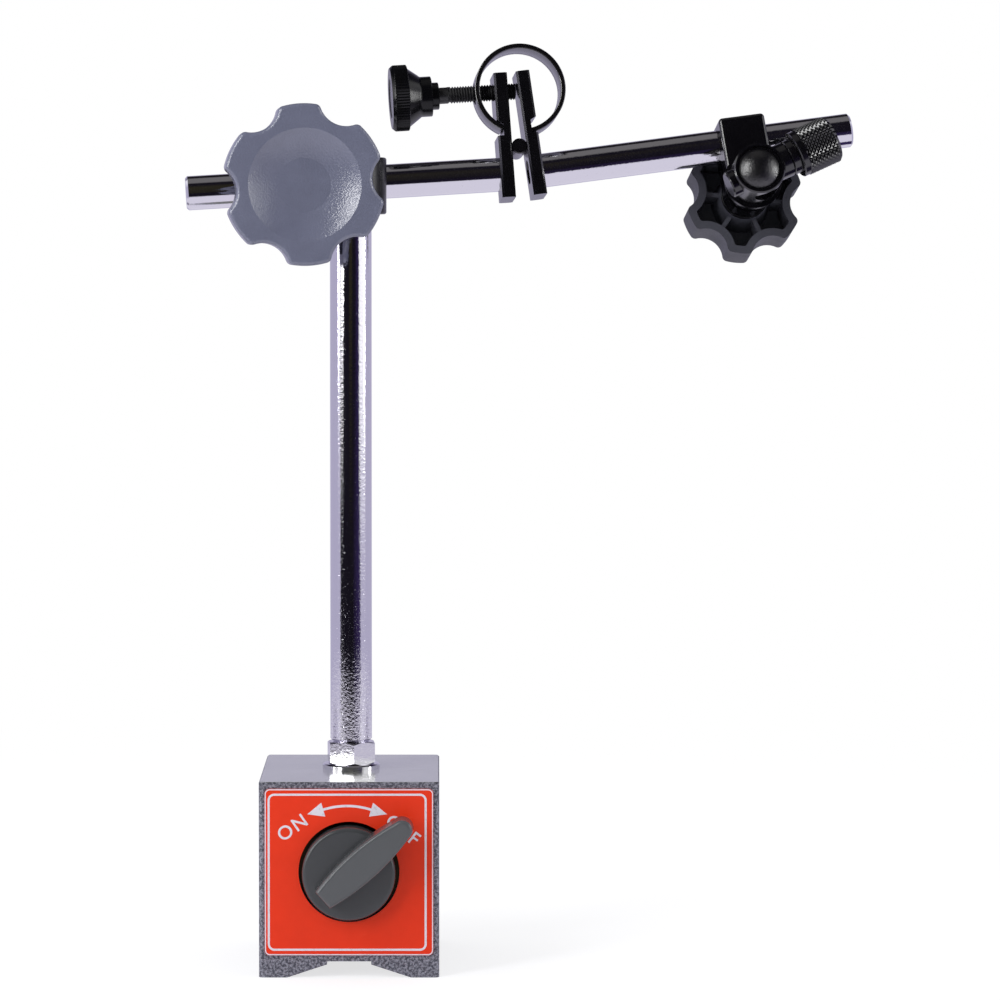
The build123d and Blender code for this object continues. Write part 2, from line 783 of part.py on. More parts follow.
# Fulcrum pin: a plain dowel across the gap, seated in both plates
with BuildPart() as fulcrum_pin:
    with BuildSketch(side_plane(pin_frame)):
        Circle(pin_diameter / 2)
    extrude(amount=pin_length / 2, both=True)
    chamfer(fulcrum_pin.edges(), running * 6)
fulcrum_pin.part.label = "fulcrum_pin"
export_step(fulcrum_pin.part, "parts/fulcrum_pin.step")

# Spring ring: an open band whose ends hook into the plates' notches and draw the plates together
notch_floor_level = plate_gap / 2 + plate_thickness - notch_depth
left_tip = -notch_floor_level
tilt_cos = cos(radians(rod_bend))
tilt_sin = sin(radians(rod_bend))
right_tip_low = notch_floor_level / tilt_cos + ring_tip_gap
right_tip_high = right_tip_low - ring_above_pin * tilt_sin / tilt_cos
with BuildPart() as spring_ring:
    with BuildSketch(side_plane(pin_frame)):
        with Locations((ring_shift, ring_above_pin)):
            Circle(ring_outer_radius)
            Circle(ring_outer_radius - ring_thickness, mode=Mode.SUBTRACT)
        with BuildLine():
            Polyline(
                (left_tip, 0),
                (left_tip, ring_above_pin),
                (right_tip_high, ring_above_pin),
                (right_tip_low, 0),
                close=True,
            )
        make_face(mode=Mode.SUBTRACT)
    extrude(amount=ring_width / 2, both=True)
    with BuildSketch(moved(pin_frame, y=screw_above_pin)):
        Circle(ring_hole_diameter / 2)
    extrude(amount=-2 * ring_outer_radius, mode=Mode.SUBTRACT)
spring_ring.part.label = "spring_ring"
export_step(spring_ring.part, "parts/spring_ring.step")

# Adjusting screw: through the ring and the left plate, its rounded tip against the right plate
screw_frame = moved(pin_frame, y=screw_above_pin, z=-plate_gap / 2 - plate_thickness)
tip_radius = screw_diameter / 2
tip_level = (plate_gap / 2 - tip_radius - screw_above_pin * tilt_sin) / tilt_cos - screw_tip_gap
tip_centre = tip_level + plate_gap / 2 + plate_thickness
screw_end = -screw_neck_end - screw_socket_depth
with BuildPart() as adjusting_screw:
    with BuildSketch(lathe_plane(screw_frame)):
        with BuildLine():
            Polyline(
                (0, tip_centre + tip_radius),
                (0, screw_end),
                (screw_diameter / 2, screw_end),
                (screw_diameter / 2, tip_centre),
            )
            TangentArc((0, tip_centre + tip_radius), (screw_diameter / 2, tip_centre), tangent=(1, 0))
        make_face()
    revolve(axis=spin_axis(screw_frame))
adjusting_screw.part.label = "adjusting_screw"
export_step(adjusting_screw.part, "parts/adjusting_screw.step")

# Adjusting knob: stepped neck, cone and knurled grip, on the screw's outer end
with BuildPart() as adjusting_knob:
    with BuildSketch(lathe_plane(screw_frame)):
        with BuildLine():
            Polyline(
                (0, -screw_neck_end),
                (knob_step_diameter / 2, -screw_neck_end),
                (knob_step_diameter / 2, -knob_step_end),
                (knob_boss_diameter / 2, -knob_step_end),
                (knob_boss_diameter / 2, -knob_boss_end),
                (knob_cone_diameter / 2, -knob_cone_end),
                (knob_grip_diameter / 2 - knob_grip_bevel, -knob_cone_end),
                (knob_grip_diameter / 2, -knob_cone_end - knob_grip_bevel),
                (knob_grip_diameter / 2, -knob_grip_end + knob_grip_bevel),
                (knob_grip_diameter / 2 - knob_grip_bevel, -knob_grip_end),
                (0, -knob_grip_end),
                close=True,
            )
        make_face()
    revolve(axis=spin_axis(screw_frame))
    with BuildSketch(moved(screw_frame, z=-screw_neck_end)):
        Circle(screw_diameter / 2 + running)
    extrude(amount=-screw_socket_depth - running, mode=Mode.SUBTRACT)
adjusting_knob.part.label = "adjusting_knob"
export_step(adjusting_knob.part, "parts/adjusting_knob.step")

# Right rod: its spigot sits in the right plate
right_seat = plate_gap / 2 + plate_thickness
with BuildPart() as right_rod:
    with BuildSketch(moved(right_frame, z=right_seat)):
        Circle(rod_diameter / 2)
    extrude(amount=right_rod_reach - right_seat)
    chamfer(right_rod.faces().sort_by(spin_axis(right_frame))[-1].edges(), rod_chamfer)
    with BuildSketch(moved(right_frame, z=right_seat)):
        Circle(spigot_diameter / 2)
    extrude(amount=-spigot_length)
right_rod.part.label = "right_rod"
export_step(right_rod.part, "parts/right_rod.step")

# End clamp: a block on the right rod, slit downwards, with the holder's bolt through its lugs
end_side = side_plane(end_frame)
with BuildPart() as end_clamp:
    with BuildSketch(end_side):
        with Locations((0, (end_clamp_above - holder_below_rod) / 2)):
            Rectangle(end_clamp_width, end_clamp_above + holder_below_rod)
        with Locations((0, -holder_below_rod)):
            Circle(end_clamp_width / 2)
    extrude(amount=end_clamp_depth / 2, both=True)
    fillet(end_clamp.edges(), end_clamp_edge)
    with BuildSketch(end_frame):
        Circle(rod_diameter / 2 + running)
        with Locations((0, -holder_below_rod)):
            Rectangle(end_slit, 2 * holder_below_rod)
    extrude(amount=end_clamp_width, both=True, mode=Mode.SUBTRACT)
    with BuildSketch(holder_plane):
        Circle(clamp_bolt_diameter / 2 + 2 * running)
    extrude(amount=end_clamp_depth, both=True, mode=Mode.SUBTRACT)
end_clamp.part.label = "end_clamp"
export_step(end_clamp.part, "parts/end_clamp.step")

# Washers on either side of the end clamp
with BuildPart() as friction_washer:
    with BuildSketch(moved(holder_plane, z=washer_back)):
        Circle(friction_washer_diameter / 2)
        Circle(clamp_bolt_diameter / 2 + 2 * running, mode=Mode.SUBTRACT)
    extrude(amount=friction_washer_thickness)
friction_washer.part.label = "friction_washer"
export_step(friction_washer.part, "parts/friction_washer.step")

with BuildPart() as thrust_washer:
    with BuildSketch(moved(holder_plane, z=-washer_back)):
        Circle(thrust_washer_diameter / 2)
        Circle(clamp_bolt_diameter / 2 + 2 * running, mode=Mode.SUBTRACT)
    extrude(amount=-thrust_washer_thickness)
thrust_washer.part.label = "thrust_washer"
export_step(thrust_washer.part, "parts/thrust_washer.step")

# Holder bolt: domed head with the stem's cross hole, shank through the end clamp to the star knob
holder_bolt_end = star_back - star_insert_length
head_back = holder_back + holder_head_gap
dome_start = holder_front - holder_dome_setback
with BuildPart() as holder_bolt:
    with BuildSketch(lathe_plane(holder_plane)):
        with BuildLine():
            Polyline(
                (0, dome_start + holder_dome_height),
                (0, holder_bolt_end),
                (clamp_bolt_diameter / 2 - rod_chamfer, holder_bolt_end),
                (clamp_bolt_diameter / 2, holder_bolt_end + rod_chamfer),
                (clamp_bolt_diameter / 2, head_back),
                (holder_bolt_diameter / 2, head_back),
                (holder_bolt_diameter / 2, dome_start),
            )
            TangentArc(
                (0, dome_start + holder_dome_height), (holder_bolt_diameter / 2, dome_start), tangent=(1, 0)
            )
        make_face()
    revolve(axis=spin_axis(holder_plane))
    with BuildSketch(stem_frame):
        Circle(stem_diameter / 2)
    extrude(amount=holder_outer_diameter, both=True, mode=Mode.SUBTRACT)
    with BuildSketch(thumb_frame):
        Circle(thumb_thread_diameter / 2 + 4 * running)
    extrude(amount=holder_outer_diameter, mode=Mode.SUBTRACT)
holder_bolt.part.label = "holder_bolt"
export_step(holder_bolt.part, "parts/holder_bolt.step")

# Holder sleeve: round the bolt's head, with a boss for the thumb screw and a stub opposite
with BuildPart() as holder_sleeve:
    with BuildSketch(moved(holder_plane, z=holder_back)):
        Circle(holder_outer_diameter / 2)
    extrude(amount=holder_length)
    chamfer(holder_sleeve.edges(), base_edge)
    with BuildSketch(thumb_frame):
        Circle(boss_diameter / 2)
    extrude(amount=boss_reach)
    with BuildSketch(thumb_frame):
        Circle(stub_diameter / 2)
    extrude(amount=-stub_reach)
    chamfer(holder_sleeve.faces().sort_by(spin_axis(thumb_frame))[0].edges(), base_edge)
    with BuildSketch(moved(holder_plane, z=holder_back)):
        Circle(holder_bolt_diameter / 2 + running)
    extrude(amount=holder_length, mode=Mode.SUBTRACT)
    with BuildSketch(moved(holder_plane, z=holder_front)):
        Circle(holder_bore_front / 2)
    extrude(amount=-holder_bore_depth, mode=Mode.SUBTRACT)
    with BuildSketch(stem_frame):
        Circle(stem_diameter / 2)
    extrude(amount=holder_outer_diameter, both=True, mode=Mode.SUBTRACT)
    with BuildSketch(thumb_frame):
        Circle(thumb_thread_diameter / 2 + running)
    extrude(amount=holder_outer_diameter, mode=Mode.SUBTRACT)
holder_sleeve.part.label = "holder_sleeve"
export_step(holder_sleeve.part, "parts/holder_sleeve.step")

# Thumb screw: knurled grip and collar, its tip just clear of an indicator's stem
collar_start = boss_reach + thumb_gap
grip_start = collar_start + thumb_collar_length
grip_end = grip_start + thumb_grip_length
with BuildPart() as thumb_screw:
    with BuildSketch(lathe_plane(thumb_frame)):
        with BuildLine():
            Polyline(
                (0, stem_diameter / 2 + running),
                (thumb_thread_diameter / 2 - base_edge, stem_diameter / 2 + running),
                (thumb_thread_diameter / 2, stem_diameter / 2 + running + base_edge),
                (thumb_thread_diameter / 2, collar_start),
                (thumb_collar_diameter / 2, collar_start),
                (thumb_collar_diameter / 2, grip_start),
                (thumb_grip_diameter / 2 - thumb_grip_bevel, grip_start),
                (thumb_grip_diameter / 2, grip_start + thumb_grip_bevel),
                (thumb_grip_diameter / 2, grip_end - thumb_grip_bevel),
                (thumb_grip_diameter / 2 - thumb_grip_bevel, grip_end),
                (0, grip_end),
                close=True,
            )
        make_face()
    revolve(axis=spin_axis(thumb_frame))
thumb_screw.part.label = "thumb_screw"
export_step(thumb_screw.part, "parts/thumb_screw.step")

# Star knob: open towards the clamp, closed at the back
star_origin = moved(holder_plane, z=star_back).origin
star_frame = turned(Plane(star_origin, x_dir=holder_plane.x_dir, z_dir=-holder_plane.z_dir), star_turn)
star_shell = hand_knob(
    radius=star_radius,
    valley=star_valley,
    scallop=star_scallop,
    corner=star_corner,
    thickness=star_thickness,
    edge=star_edge,
    hollow=star_thickness - star_web,
    wall=star_wall,
    hub=(star_hub_radius, star_hub_draft),
    rib=star_rib,
    insert=(star_insert_diameter, star_insert_length),
)
with BuildPart() as star_knob:
    with Locations(star_frame.location):
        add(star_shell.part)
star_knob.part.label = "star_knob"
export_step(star_knob.part, "parts/star_knob.step")

# Star knob insert: its threaded metal bush
with BuildPart() as star_knob_insert:
    with BuildSketch(star_frame):
        Circle(star_insert_diameter / 2)
        Circle(clamp_bolt_diameter / 2 + running, mode=Mode.SUBTRACT)
    extrude(amount=star_insert_length)
star_knob_insert.part.label = "star_knob_insert"
export_step(star_knob_insert.part, "parts/star_knob_insert.step")
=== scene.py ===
import json
from math import atan2, cos, pi, radians, sin, sqrt

import bmesh
import bpy
from bpy.props import FloatProperty, FloatVectorProperty, IntProperty, PointerProperty, StringProperty
from mathutils import Matrix, Vector


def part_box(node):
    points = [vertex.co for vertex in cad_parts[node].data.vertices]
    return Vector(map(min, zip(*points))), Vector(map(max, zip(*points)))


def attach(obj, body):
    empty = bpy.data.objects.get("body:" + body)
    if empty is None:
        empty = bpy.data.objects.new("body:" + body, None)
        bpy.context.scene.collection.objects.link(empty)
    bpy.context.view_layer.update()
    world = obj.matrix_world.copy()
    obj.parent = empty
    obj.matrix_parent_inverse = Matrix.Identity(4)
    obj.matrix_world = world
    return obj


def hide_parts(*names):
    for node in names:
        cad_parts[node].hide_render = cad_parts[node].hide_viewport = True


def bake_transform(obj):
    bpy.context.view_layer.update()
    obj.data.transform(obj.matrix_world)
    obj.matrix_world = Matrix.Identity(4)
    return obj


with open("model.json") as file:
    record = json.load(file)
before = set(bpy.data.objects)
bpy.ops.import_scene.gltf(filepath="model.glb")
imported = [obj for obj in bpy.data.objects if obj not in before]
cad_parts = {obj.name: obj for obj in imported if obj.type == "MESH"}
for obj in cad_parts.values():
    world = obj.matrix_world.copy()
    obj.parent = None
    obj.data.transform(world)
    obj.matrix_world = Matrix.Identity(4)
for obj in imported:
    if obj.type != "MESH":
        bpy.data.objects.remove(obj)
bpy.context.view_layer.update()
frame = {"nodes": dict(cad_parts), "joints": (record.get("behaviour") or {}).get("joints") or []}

bl_info = {
    "name": "Magnetic indicator stand",
    "version": (1, 0, 0),
    "blender": (4, 5, 0),
    "location": "View3D > Sidebar > Indicator Stand",
    "description": "Dresses the stand with its label print, threads, knurls, spring ring and finishes",
    "category": "Object",
}

MM = 0.001

JOINTS = {joint["name"]: joint for joint in frame["joints"]}


def joint_point(name):
    return Vector(JOINTS[name]["pos_m"])


def joint_axis(name):
    return Vector(JOINTS[name]["axis"])


HEAD_ALONG = joint_axis("screw_turn")
HEAD_UP = HEAD_ALONG.cross(joint_axis("fine_tilt"))
PIN_CENTRE = joint_point("fine_tilt")
SCREW_ORIGIN = joint_point("screw_turn")
THUMB_ORIGIN = joint_point("thumb_screw_turn")
THUMB_ALONG = joint_axis("thumb_screw_turn")
THUMB_SIDE = joint_axis("holder_swivel")


# Settings

def length(name, description, default):
    return FloatProperty(
        name=name, description=description, default=default, min=0, unit="LENGTH", precision=5
    )


def count(name, description, default, least):
    return IntProperty(name=name, description=description, default=default, min=least)


def strength(name, description, default):
    return FloatProperty(name=name, description=description, default=default, min=0)


def power(name, description, default):
    return FloatProperty(name=name, description=description, default=default, min=0, unit="POWER")


def colour(name, description, default):
    return FloatVectorProperty(
        name=name, description=description, default=default, size=3, min=0, max=1, subtype="COLOR"
    )


class LabelPrintSettings(bpy.types.PropertyGroup):
    width: length("Label width", "Width of the red label", 47.6 * MM)
    height: length("Label height", "Height of the red label", 47.2 * MM)
    centre_height: length("Label centre", "Height of the label's middle above the table", 30.0 * MM)
    corner: length("Corner radius", "Radius of the label's corners", 1.4 * MM)
    face: length("Label face", "Distance of the label's face in front of the column's axis", 30.5 * MM)
    ink: length("Ink thickness", "Height of the print above the label", 0.03 * MM)
    edge_line: length("Edge line", "Width of the bare line at the label's edge", 0.3 * MM)
    frame_width: length("Frame width", "Outside width of the printed frame", 44.9 * MM)
    frame_height: length("Frame height", "Outside height of the printed frame", 44.6 * MM)
    frame_line: length("Frame line", "Width of the printed frame's line", 0.6 * MM)
    frame_corner: length("Frame corner", "Radius of the printed frame's corners", 1.9 * MM)
    frame_shift: length("Frame shift", "How far the frame sits left of the middle", 0.5 * MM)
    arrow_radius: length("Arrow radius", "Radius of the double arrow's curve", 22.3 * MM)
    arrow_top: length("Arrow top", "Height of the arrow's curve above the table", 48.8 * MM)
    arrow_line: length("Arrow line", "Width of the arrow's curve", 0.7 * MM)
    head_length: length("Arrow head length", "Length of each arrow head", 4.7 * MM)
    head_width: length("Arrow head width", "Width of each arrow head", 4.1 * MM)
    word_height: length("Word height", "Height of the capitals", 3.8 * MM)
    on_word: StringProperty(name="On word", description="Word at the left end of the arrow", default="ON")
    off_word: StringProperty(name="Off word", description="Word at the right end of the arrow", default="OFF")


class ThreadSettings(bpy.types.PropertyGroup):
    diameter: length("Thread diameter", "Outside diameter of the adjusting screw", 5.0 * MM)
    pitch: length("Thread pitch", "Distance between neighbouring threads", 0.8 * MM)
    depth: length("Thread depth", "Depth of the thread", 0.45 * MM)
    reach: length("Screw reach", "From the plate's outer face to the rounded tip", 6.85 * MM)
    neck: length("Neck", "From the plate's outer face back to the knob", 16.1 * MM)
    plain: length("Plain neck", "Length of the plain part next to the knob", 3.0 * MM)


class KnurlSettings(bpy.types.PropertyGroup):
    straight_teeth: count("Straight teeth", "Teeth round the adjusting knob", 72, 8)
    straight_depth: length("Straight knurl depth", "Depth of the adjusting knob's knurl", 0.22 * MM)
    diamonds: count("Diamonds", "Diamonds round the thumb screw", 28, 8)
    rows: count("Rows", "Half rows of diamonds along the thumb screw", 14, 4)
    diamond_depth: length("Diamond depth", "Depth of the thumb screw's knurl", 0.5 * MM)


class SpringSettings(bpy.types.PropertyGroup):
    radius: length("Ring radius", "Outside radius of the spring ring", 13.4 * MM)
    thickness: length("Ring thickness", "Thickness of the band", 1.4 * MM)
    width: length("Ring width", "Width of the band", 10.0 * MM)
    rise: length("Ring height", "Height of the ring's centre above the pin", 17.1 * MM)
    shift: length("Ring shift", "Shift of the ring's centre along the rod", 1.6 * MM)
    edge: length("Ring edge", "Rounding of the band's edges", 0.25 * MM)
    hole: length("Screw hole", "Diameter of the hole for the adjusting screw", 6.4 * MM)


class FinishSettings(bpy.types.PropertyGroup):
    paint_dark: colour("Paint, dark", "Dark grains of the hammer paint", (0.058, 0.059, 0.080))
    paint_light: colour("Paint, light", "Light grains of the hammer paint", (0.34, 0.34, 0.41))
    paint_grain: length("Paint grain", "Size of the grains in the hammer paint", 0.75 * MM)
    ground_top: colour("Ground top", "Ground and plated top of the base", (0.65, 0.67, 0.63))
    label_red: colour("Label red", "Red of the label", (0.88, 0.042, 0.010))
    print_white: colour("Print white", "White of the label's print", (0.80, 0.76, 0.86))
    chrome: colour("Chrome", "Chromium plate", (0.76, 0.75, 0.80))
    black_oxide: colour("Black oxide", "Blackened steel", (0.0024, 0.0022, 0.0034))
    knob_grey: colour("Main knob", "Moulded grey of the main knob", (0.156, 0.166, 0.243))
    knob_black: colour("Star knob", "Moulded black of the star knob", (0.054, 0.055, 0.072))
    switch_grey: colour("Switch", "Moulded grey of the switch", (0.056, 0.059, 0.064))
    # Painted shade: the bearing's brass is made near black because it sits in deep shadow between the switch
    # disc and the label.
    brass_in_painted_shade: colour("Brass", "Oiled dark brass", (0.030, 0.021, 0.012))
    iron: colour("Iron", "Machined iron and steel bushes", (0.35, 0.35, 0.37))


class StageSettings(bpy.types.PropertyGroup):
    table: length("Table size", "Width of the white table", 12.0)
    ambient: strength("Ambient light", "Strength of the light all round", 0.60)
    key: power("Key light", "Power of the soft light on the left", 6.0)
    left_strip: power("Left strip", "Power of the narrow light on the left", 1.3)
    right_strip: power("Right strip", "Power of the narrow light on the right", 1.8)
    glow: strength("Cards", "Brightness of all that bright metal reflects", 1.3)
    white_card: colour("White cards", "What bright metal reflects at the sides", (1.0, 1.0, 1.0))
    backdrop: colour("Backdrop", "What bright metal reflects from behind", (0.40, 0.38, 0.50))
    dark_card: colour(
        "Dark cards", "What bright metal reflects from the front and above", (0.006, 0.005, 0.009)
    )
    dark_edge: colour("Dark cards, edge", "Dark cards next to the white ones", (0.024, 0.015, 0.060))
    dark_middle: colour("Dark cards, middle", "Dark cards straight in front", (0.020, 0.018, 0.010))
    ceiling: colour("Ceiling", "What bright metal reflects from above", (0.13, 0.125, 0.125))
    table_card: colour("Table card", "What bright metal reflects from the table near it", (0.62, 0.60, 0.68))


# Bench tools

def select_all():
    bpy.ops.mesh.select_all(action="SELECT")


def stretch(along_x, along_y):
    """Resizes what is selected from the origin."""
    bpy.ops.transform.resize(value=(along_x, along_y, 1), center_override=(0, 0, 0))


def turn(angle, axis):
    """Turns what is selected about an axis through the origin."""
    bpy.ops.transform.rotate(value=angle, orient_axis=axis, center_override=(0, 0, 0))


def begin(name, add_primitive, **measures):
    """Adds a primitive by itself, names it and stays in edit mode with all of it selected."""
    bpy.ops.object.select_all(action="DESELECT")
    add_primitive(enter_editmode=True, **measures)
    piece = bpy.context.object
    piece.name = name
    piece.data.name = name
    bpy.ops.mesh.select_mode(type="VERT")
    select_all()
    return piece


def begin_profile(name, profile):
    """Starts a mesh from a plane merged to the profile's first point."""
    piece = begin(name, bpy.ops.mesh.primitive_plane_add, size=MM)
    bpy.ops.mesh.merge(type="CENTER")
    bpy.ops.transform.translate(value=(profile[0][0], 0, profile[0][1]))
    return piece


def pick(kind, test):
    """Selects the vertices, edges or faces whose middle passes the test."""
    bpy.ops.mesh.select_mode(type=kind)
    bpy.ops.mesh.select_all(action="DESELECT")
    mesh = bmesh.from_edit_mesh(bpy.context.object.data)
    if kind == "VERT":
        for vertex in mesh.verts:
            vertex.select_set(bool(test(vertex.co)))
    elif kind == "EDGE":
        for edge in mesh.edges:
            edge.select_set(bool(test((edge.verts[0].co + edge.verts[1].co) / 2)))
    else:
        for face in mesh.faces:
            face.select_set(bool(test(face.calc_center_median())))
    mesh.select_flush_mode()
    bmesh.update_edit_mesh(bpy.context.object.data)


def leave_edit(smooth=None):
    """Turns the faces outwards, goes back to object mode and shades."""
    select_all()
    bpy.ops.mesh.normals_make_consistent(inside=False)
    bpy.ops.object.mode_set(mode="OBJECT")
    if smooth:
        bpy.ops.object.shade_smooth_by_angle(angle=smooth)


def in_metres(profile):
    return [(radius * MM, level * MM) for radius, level in profile]


def turn_profile(profile, steps):
    """Draws the profile of (radius, level) pairs from its first point and spins it round Z."""
    for (radius, level), (next_radius, next_level) in zip(profile, profile[1:]):
        bpy.ops.mesh.extrude_vertices_move(
            TRANSFORM_OT_translate={"value": (next_radius - radius, 0, next_level - level)}
        )
    select_all()
    bpy.ops.mesh.spin(steps=steps, angle=2 * pi, center=(0, 0, 0), axis=(0, 0, 1))
    select_all()
    bpy.ops.mesh.remove_doubles(threshold=0.002 * MM)


def from_axis(point):
    return sqrt(point.x**2 + point.y**2)


def step_round(point, steps):
    """Which of the equal steps round Z the point stands at."""
    return round(atan2(point.y, point.x) / (2 * pi) * steps)


def apply_modifiers(piece):
    bpy.context.view_layer.objects.active = piece
    for modifier in list(piece.modifiers):
        bpy.ops.object.modifier_apply(modifier=modifier.name)


def put(piece, matrix):
    """Places the piece and applies its place to its mesh."""
    bpy.ops.object.select_all(action="DESELECT")
    piece.select_set(True)
    bpy.context.view_layer.objects.active = piece
    piece.matrix_world = matrix
    bpy.ops.object.transform_apply(location=True, rotation=True, scale=True)


def join(name, pieces):
    bpy.ops.object.select_all(action="DESELECT")
    for piece in pieces:
        piece.select_set(True)
    bpy.context.view_layer.objects.active = pieces[0]
    bpy.ops.object.join()
    pieces[0].name = name
    pieces[0].data.name = name
    return pieces[0]


def axes(origin, along, side):
    """The matrix that takes Z to along and X to side, at the origin given."""
    z = along.normalized()
    x = (side - z * side.dot(z)).normalized()
    y = z.cross(x)
    return Matrix((
        (x.x, y.x, z.x, origin.x),
        (x.y, y.y, z.y, origin.y),
        (x.z, y.z, z.z, origin.z),
        (0, 0, 0, 1),
    ))


def finish_piece(piece, body, material, replaced=()):
    piece.data.materials.clear()
    piece.data.materials.append(material)
    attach(piece, body)
    if replaced:
        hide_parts(*replaced)


# Node tools

def add(tree, kind, settings=None, **sockets):
    """Adds a node. A socket is named with _ for a space, or i and its number, and gets a value or a link."""
    node = tree.nodes.new(kind)
    for name, value in (settings or {}).items():
        setattr(node, name, value)
    for name, value in sockets.items():
        numbered = name[0] == "i" and name[1:].isdigit()
        socket = node.inputs[int(name[1:]) if numbered else name.replace("_", " ")]
        if isinstance(value, bpy.types.NodeSocket):
            tree.links.new(value, socket)
        else:
            socket.default_value = value
    return node


def blank(name):
    """A new material with only its output, and the output's socket."""
    material = bpy.data.materials.new(name)
    material.use_nodes = True
    material.node_tree.nodes.clear()
    output = add(material.node_tree, "ShaderNodeOutputMaterial")
    return material, material.node_tree, output.inputs["Surface"]


def rgba(values):
    return (values[0], values[1], values[2], 1)


def place(tree, scale=(1, 1, 1)):
    """Object coordinates, drawn out along an axis where its scale is small."""
    coordinates = add(tree, "ShaderNodeTexCoord")
    if tuple(scale) == (1, 1, 1):
        return coordinates.outputs["Object"]
    mapping = add(tree, "ShaderNodeMapping", Vector=coordinates.outputs["Object"], Scale=scale)
    return mapping.outputs["Vector"]


def noise(tree, where, size, detail=2.0, roughness=0.5):
    """Noise whose lumps are about the size given, in metres."""
    return add(
        tree, "ShaderNodeTexNoise", Vector=where, Scale=1 / size, Detail=detail, Roughness=roughness
    ).outputs["Fac"]


def blend_colour(tree, factor, first, second):
    node = add(tree, "ShaderNodeMix", {"data_type": "RGBA"})
    for index, value in ((0, factor), (6, first), (7, second)):
        if isinstance(value, bpy.types.NodeSocket):
            tree.links.new(value, node.inputs[index])
        else:
            node.inputs[index].default_value = value if index == 0 else rgba(value)
    return node.outputs[2]


def split(tree, vector):
    return add(tree, "ShaderNodeSeparateXYZ", Vector=vector).outputs


def absolute(tree, value):
    return add(tree, "ShaderNodeMath", {"operation": "ABSOLUTE"}, i0=value).outputs[0]


def multiply_add(tree, value, factor, extra):
    """value * factor + extra"""
    return add(
        tree, "ShaderNodeMath", {"operation": "MULTIPLY_ADD"}, i0=value, i1=factor, i2=extra
    ).outputs[0]


def mix_shaders(tree, factor, first, second):
    return add(tree, "ShaderNodeMixShader", Fac=factor, i1=first, i2=second).outputs[0]


def ramp(tree, value, low, high, low_to=0.0, high_to=1.0):
    """The value from low to high as a straight line from low_to to high_to, level beyond."""
    return add(
        tree, "ShaderNodeMapRange", Value=value, From_Min=low, From_Max=high, To_Min=low_to, To_Max=high_to
    ).outputs["Result"]


def soft_step(tree, value, low, high):
    """0 below low, 1 above high and an S curve between."""
    return add(
        tree, "ShaderNodeMapRange", {"interpolation_type": "SMOOTHSTEP"},
        Value=value, From_Min=low, From_Max=high,
    ).outputs["Result"]


def bump(tree, height, distance, amount=1.0):
    return add(tree, "ShaderNodeBump", Height=height, Distance=distance, Strength=amount).outputs["Normal"]


def principled(tree, surface, **sockets):
    shader = add(tree, "ShaderNodeBsdfPrincipled", **sockets)
    tree.links.new(shader.outputs[0], surface)


def shade(colour_value, factor):
    """The colour made darker or lighter."""
    return tuple(min(1.0, value * factor) for value in colour_value)


# Finishes

ALONG_X = (1, 0, 0)
ALONG_Z = (0, 0, 1)


def hammer_paint():
    """Speckled enamel on the sides, ground and plated steel on the top."""
    colours = bpy.context.scene.stand_finish
    material, tree, surface = blank("hammer_paint")
    where = place(tree)
    grain = noise(tree, where, colours.paint_grain, 3.0, 0.65)
    fine = noise(tree, where, colours.paint_grain / 3, 2.0, 0.6)
    mixed = multiply_add(tree, fine, 0.5, grain)
    tone = soft_step(tree, mixed, 0.64, 0.90)
    paint = add(
        tree, "ShaderNodeBsdfPrincipled",
        Base_Color=blend_colour(tree, tone, colours.paint_dark, colours.paint_light),
        Roughness=ramp(tree, tone, 0, 1, 0.36, 0.5),
        Metallic=0.25,
        Normal=bump(tree, mixed, 0.12 * MM, 0.7),
    ).outputs[0]
    marks = noise(tree, place(tree, (1, 0.25, 1)), 7 * MM, 4.0, 0.7)
    clouds = noise(tree, where, 18 * MM, 3.0, 0.6)
    grinding = noise(tree, place(tree, (0.02, 1, 1)), 0.12 * MM, 2.0, 0.6)
    scratch = soft_step(tree, marks, 0.66, 0.70)
    steel_colour = blend_colour(tree, clouds, shade(colours.ground_top, 0.82), colours.ground_top)
    steel = add(
        tree, "ShaderNodeBsdfPrincipled",
        Base_Color=blend_colour(tree, scratch, steel_colour, shade(colours.ground_top, 0.35)),
        Metallic=0.7,
        Roughness=ramp(tree, grinding, 0.3, 0.7, 0.14, 0.24),
        Normal=bump(tree, grinding, 0.004 * MM, 0.6),
    ).outputs[0]
    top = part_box("left_pole_shoe")[1].z
    on_top = soft_step(tree, split(tree, where)["Z"], top - 0.12 * MM, top - 0.04 * MM)
    tree.links.new(mix_shaders(tree, on_top, paint, steel), surface)
    return material


def red_print():
    """Printed red film with faint scuffs."""
    colours = bpy.context.scene.stand_finish
    material, tree, surface = blank("label_red")
    where = place(tree)
    clouds = noise(tree, where, 9 * MM, 3.0, 0.6)
    film = noise(tree, place(tree, (0.35, 1, 1)), 2.5 * MM, 4.0, 0.65)
    scuffs = soft_step(tree, film, 0.66, 0.80)
    red = blend_colour(tree, ramp(tree, clouds, 0.3, 0.7), shade(colours.label_red, 0.93), colours.label_red)
    principled(
        tree, surface,
        Base_Color=blend_colour(tree, ramp(tree, scuffs, 0, 1, 0, 0.18), red, (0.92, 0.20, 0.12)),
        Roughness=ramp(tree, clouds, 0.3, 0.7, 0.28, 0.40),
        Normal=bump(tree, noise(tree, where, 3 * MM, 2.0, 0.5), 0.02 * MM, 0.5),
        IOR=1.3,
    )
    return material


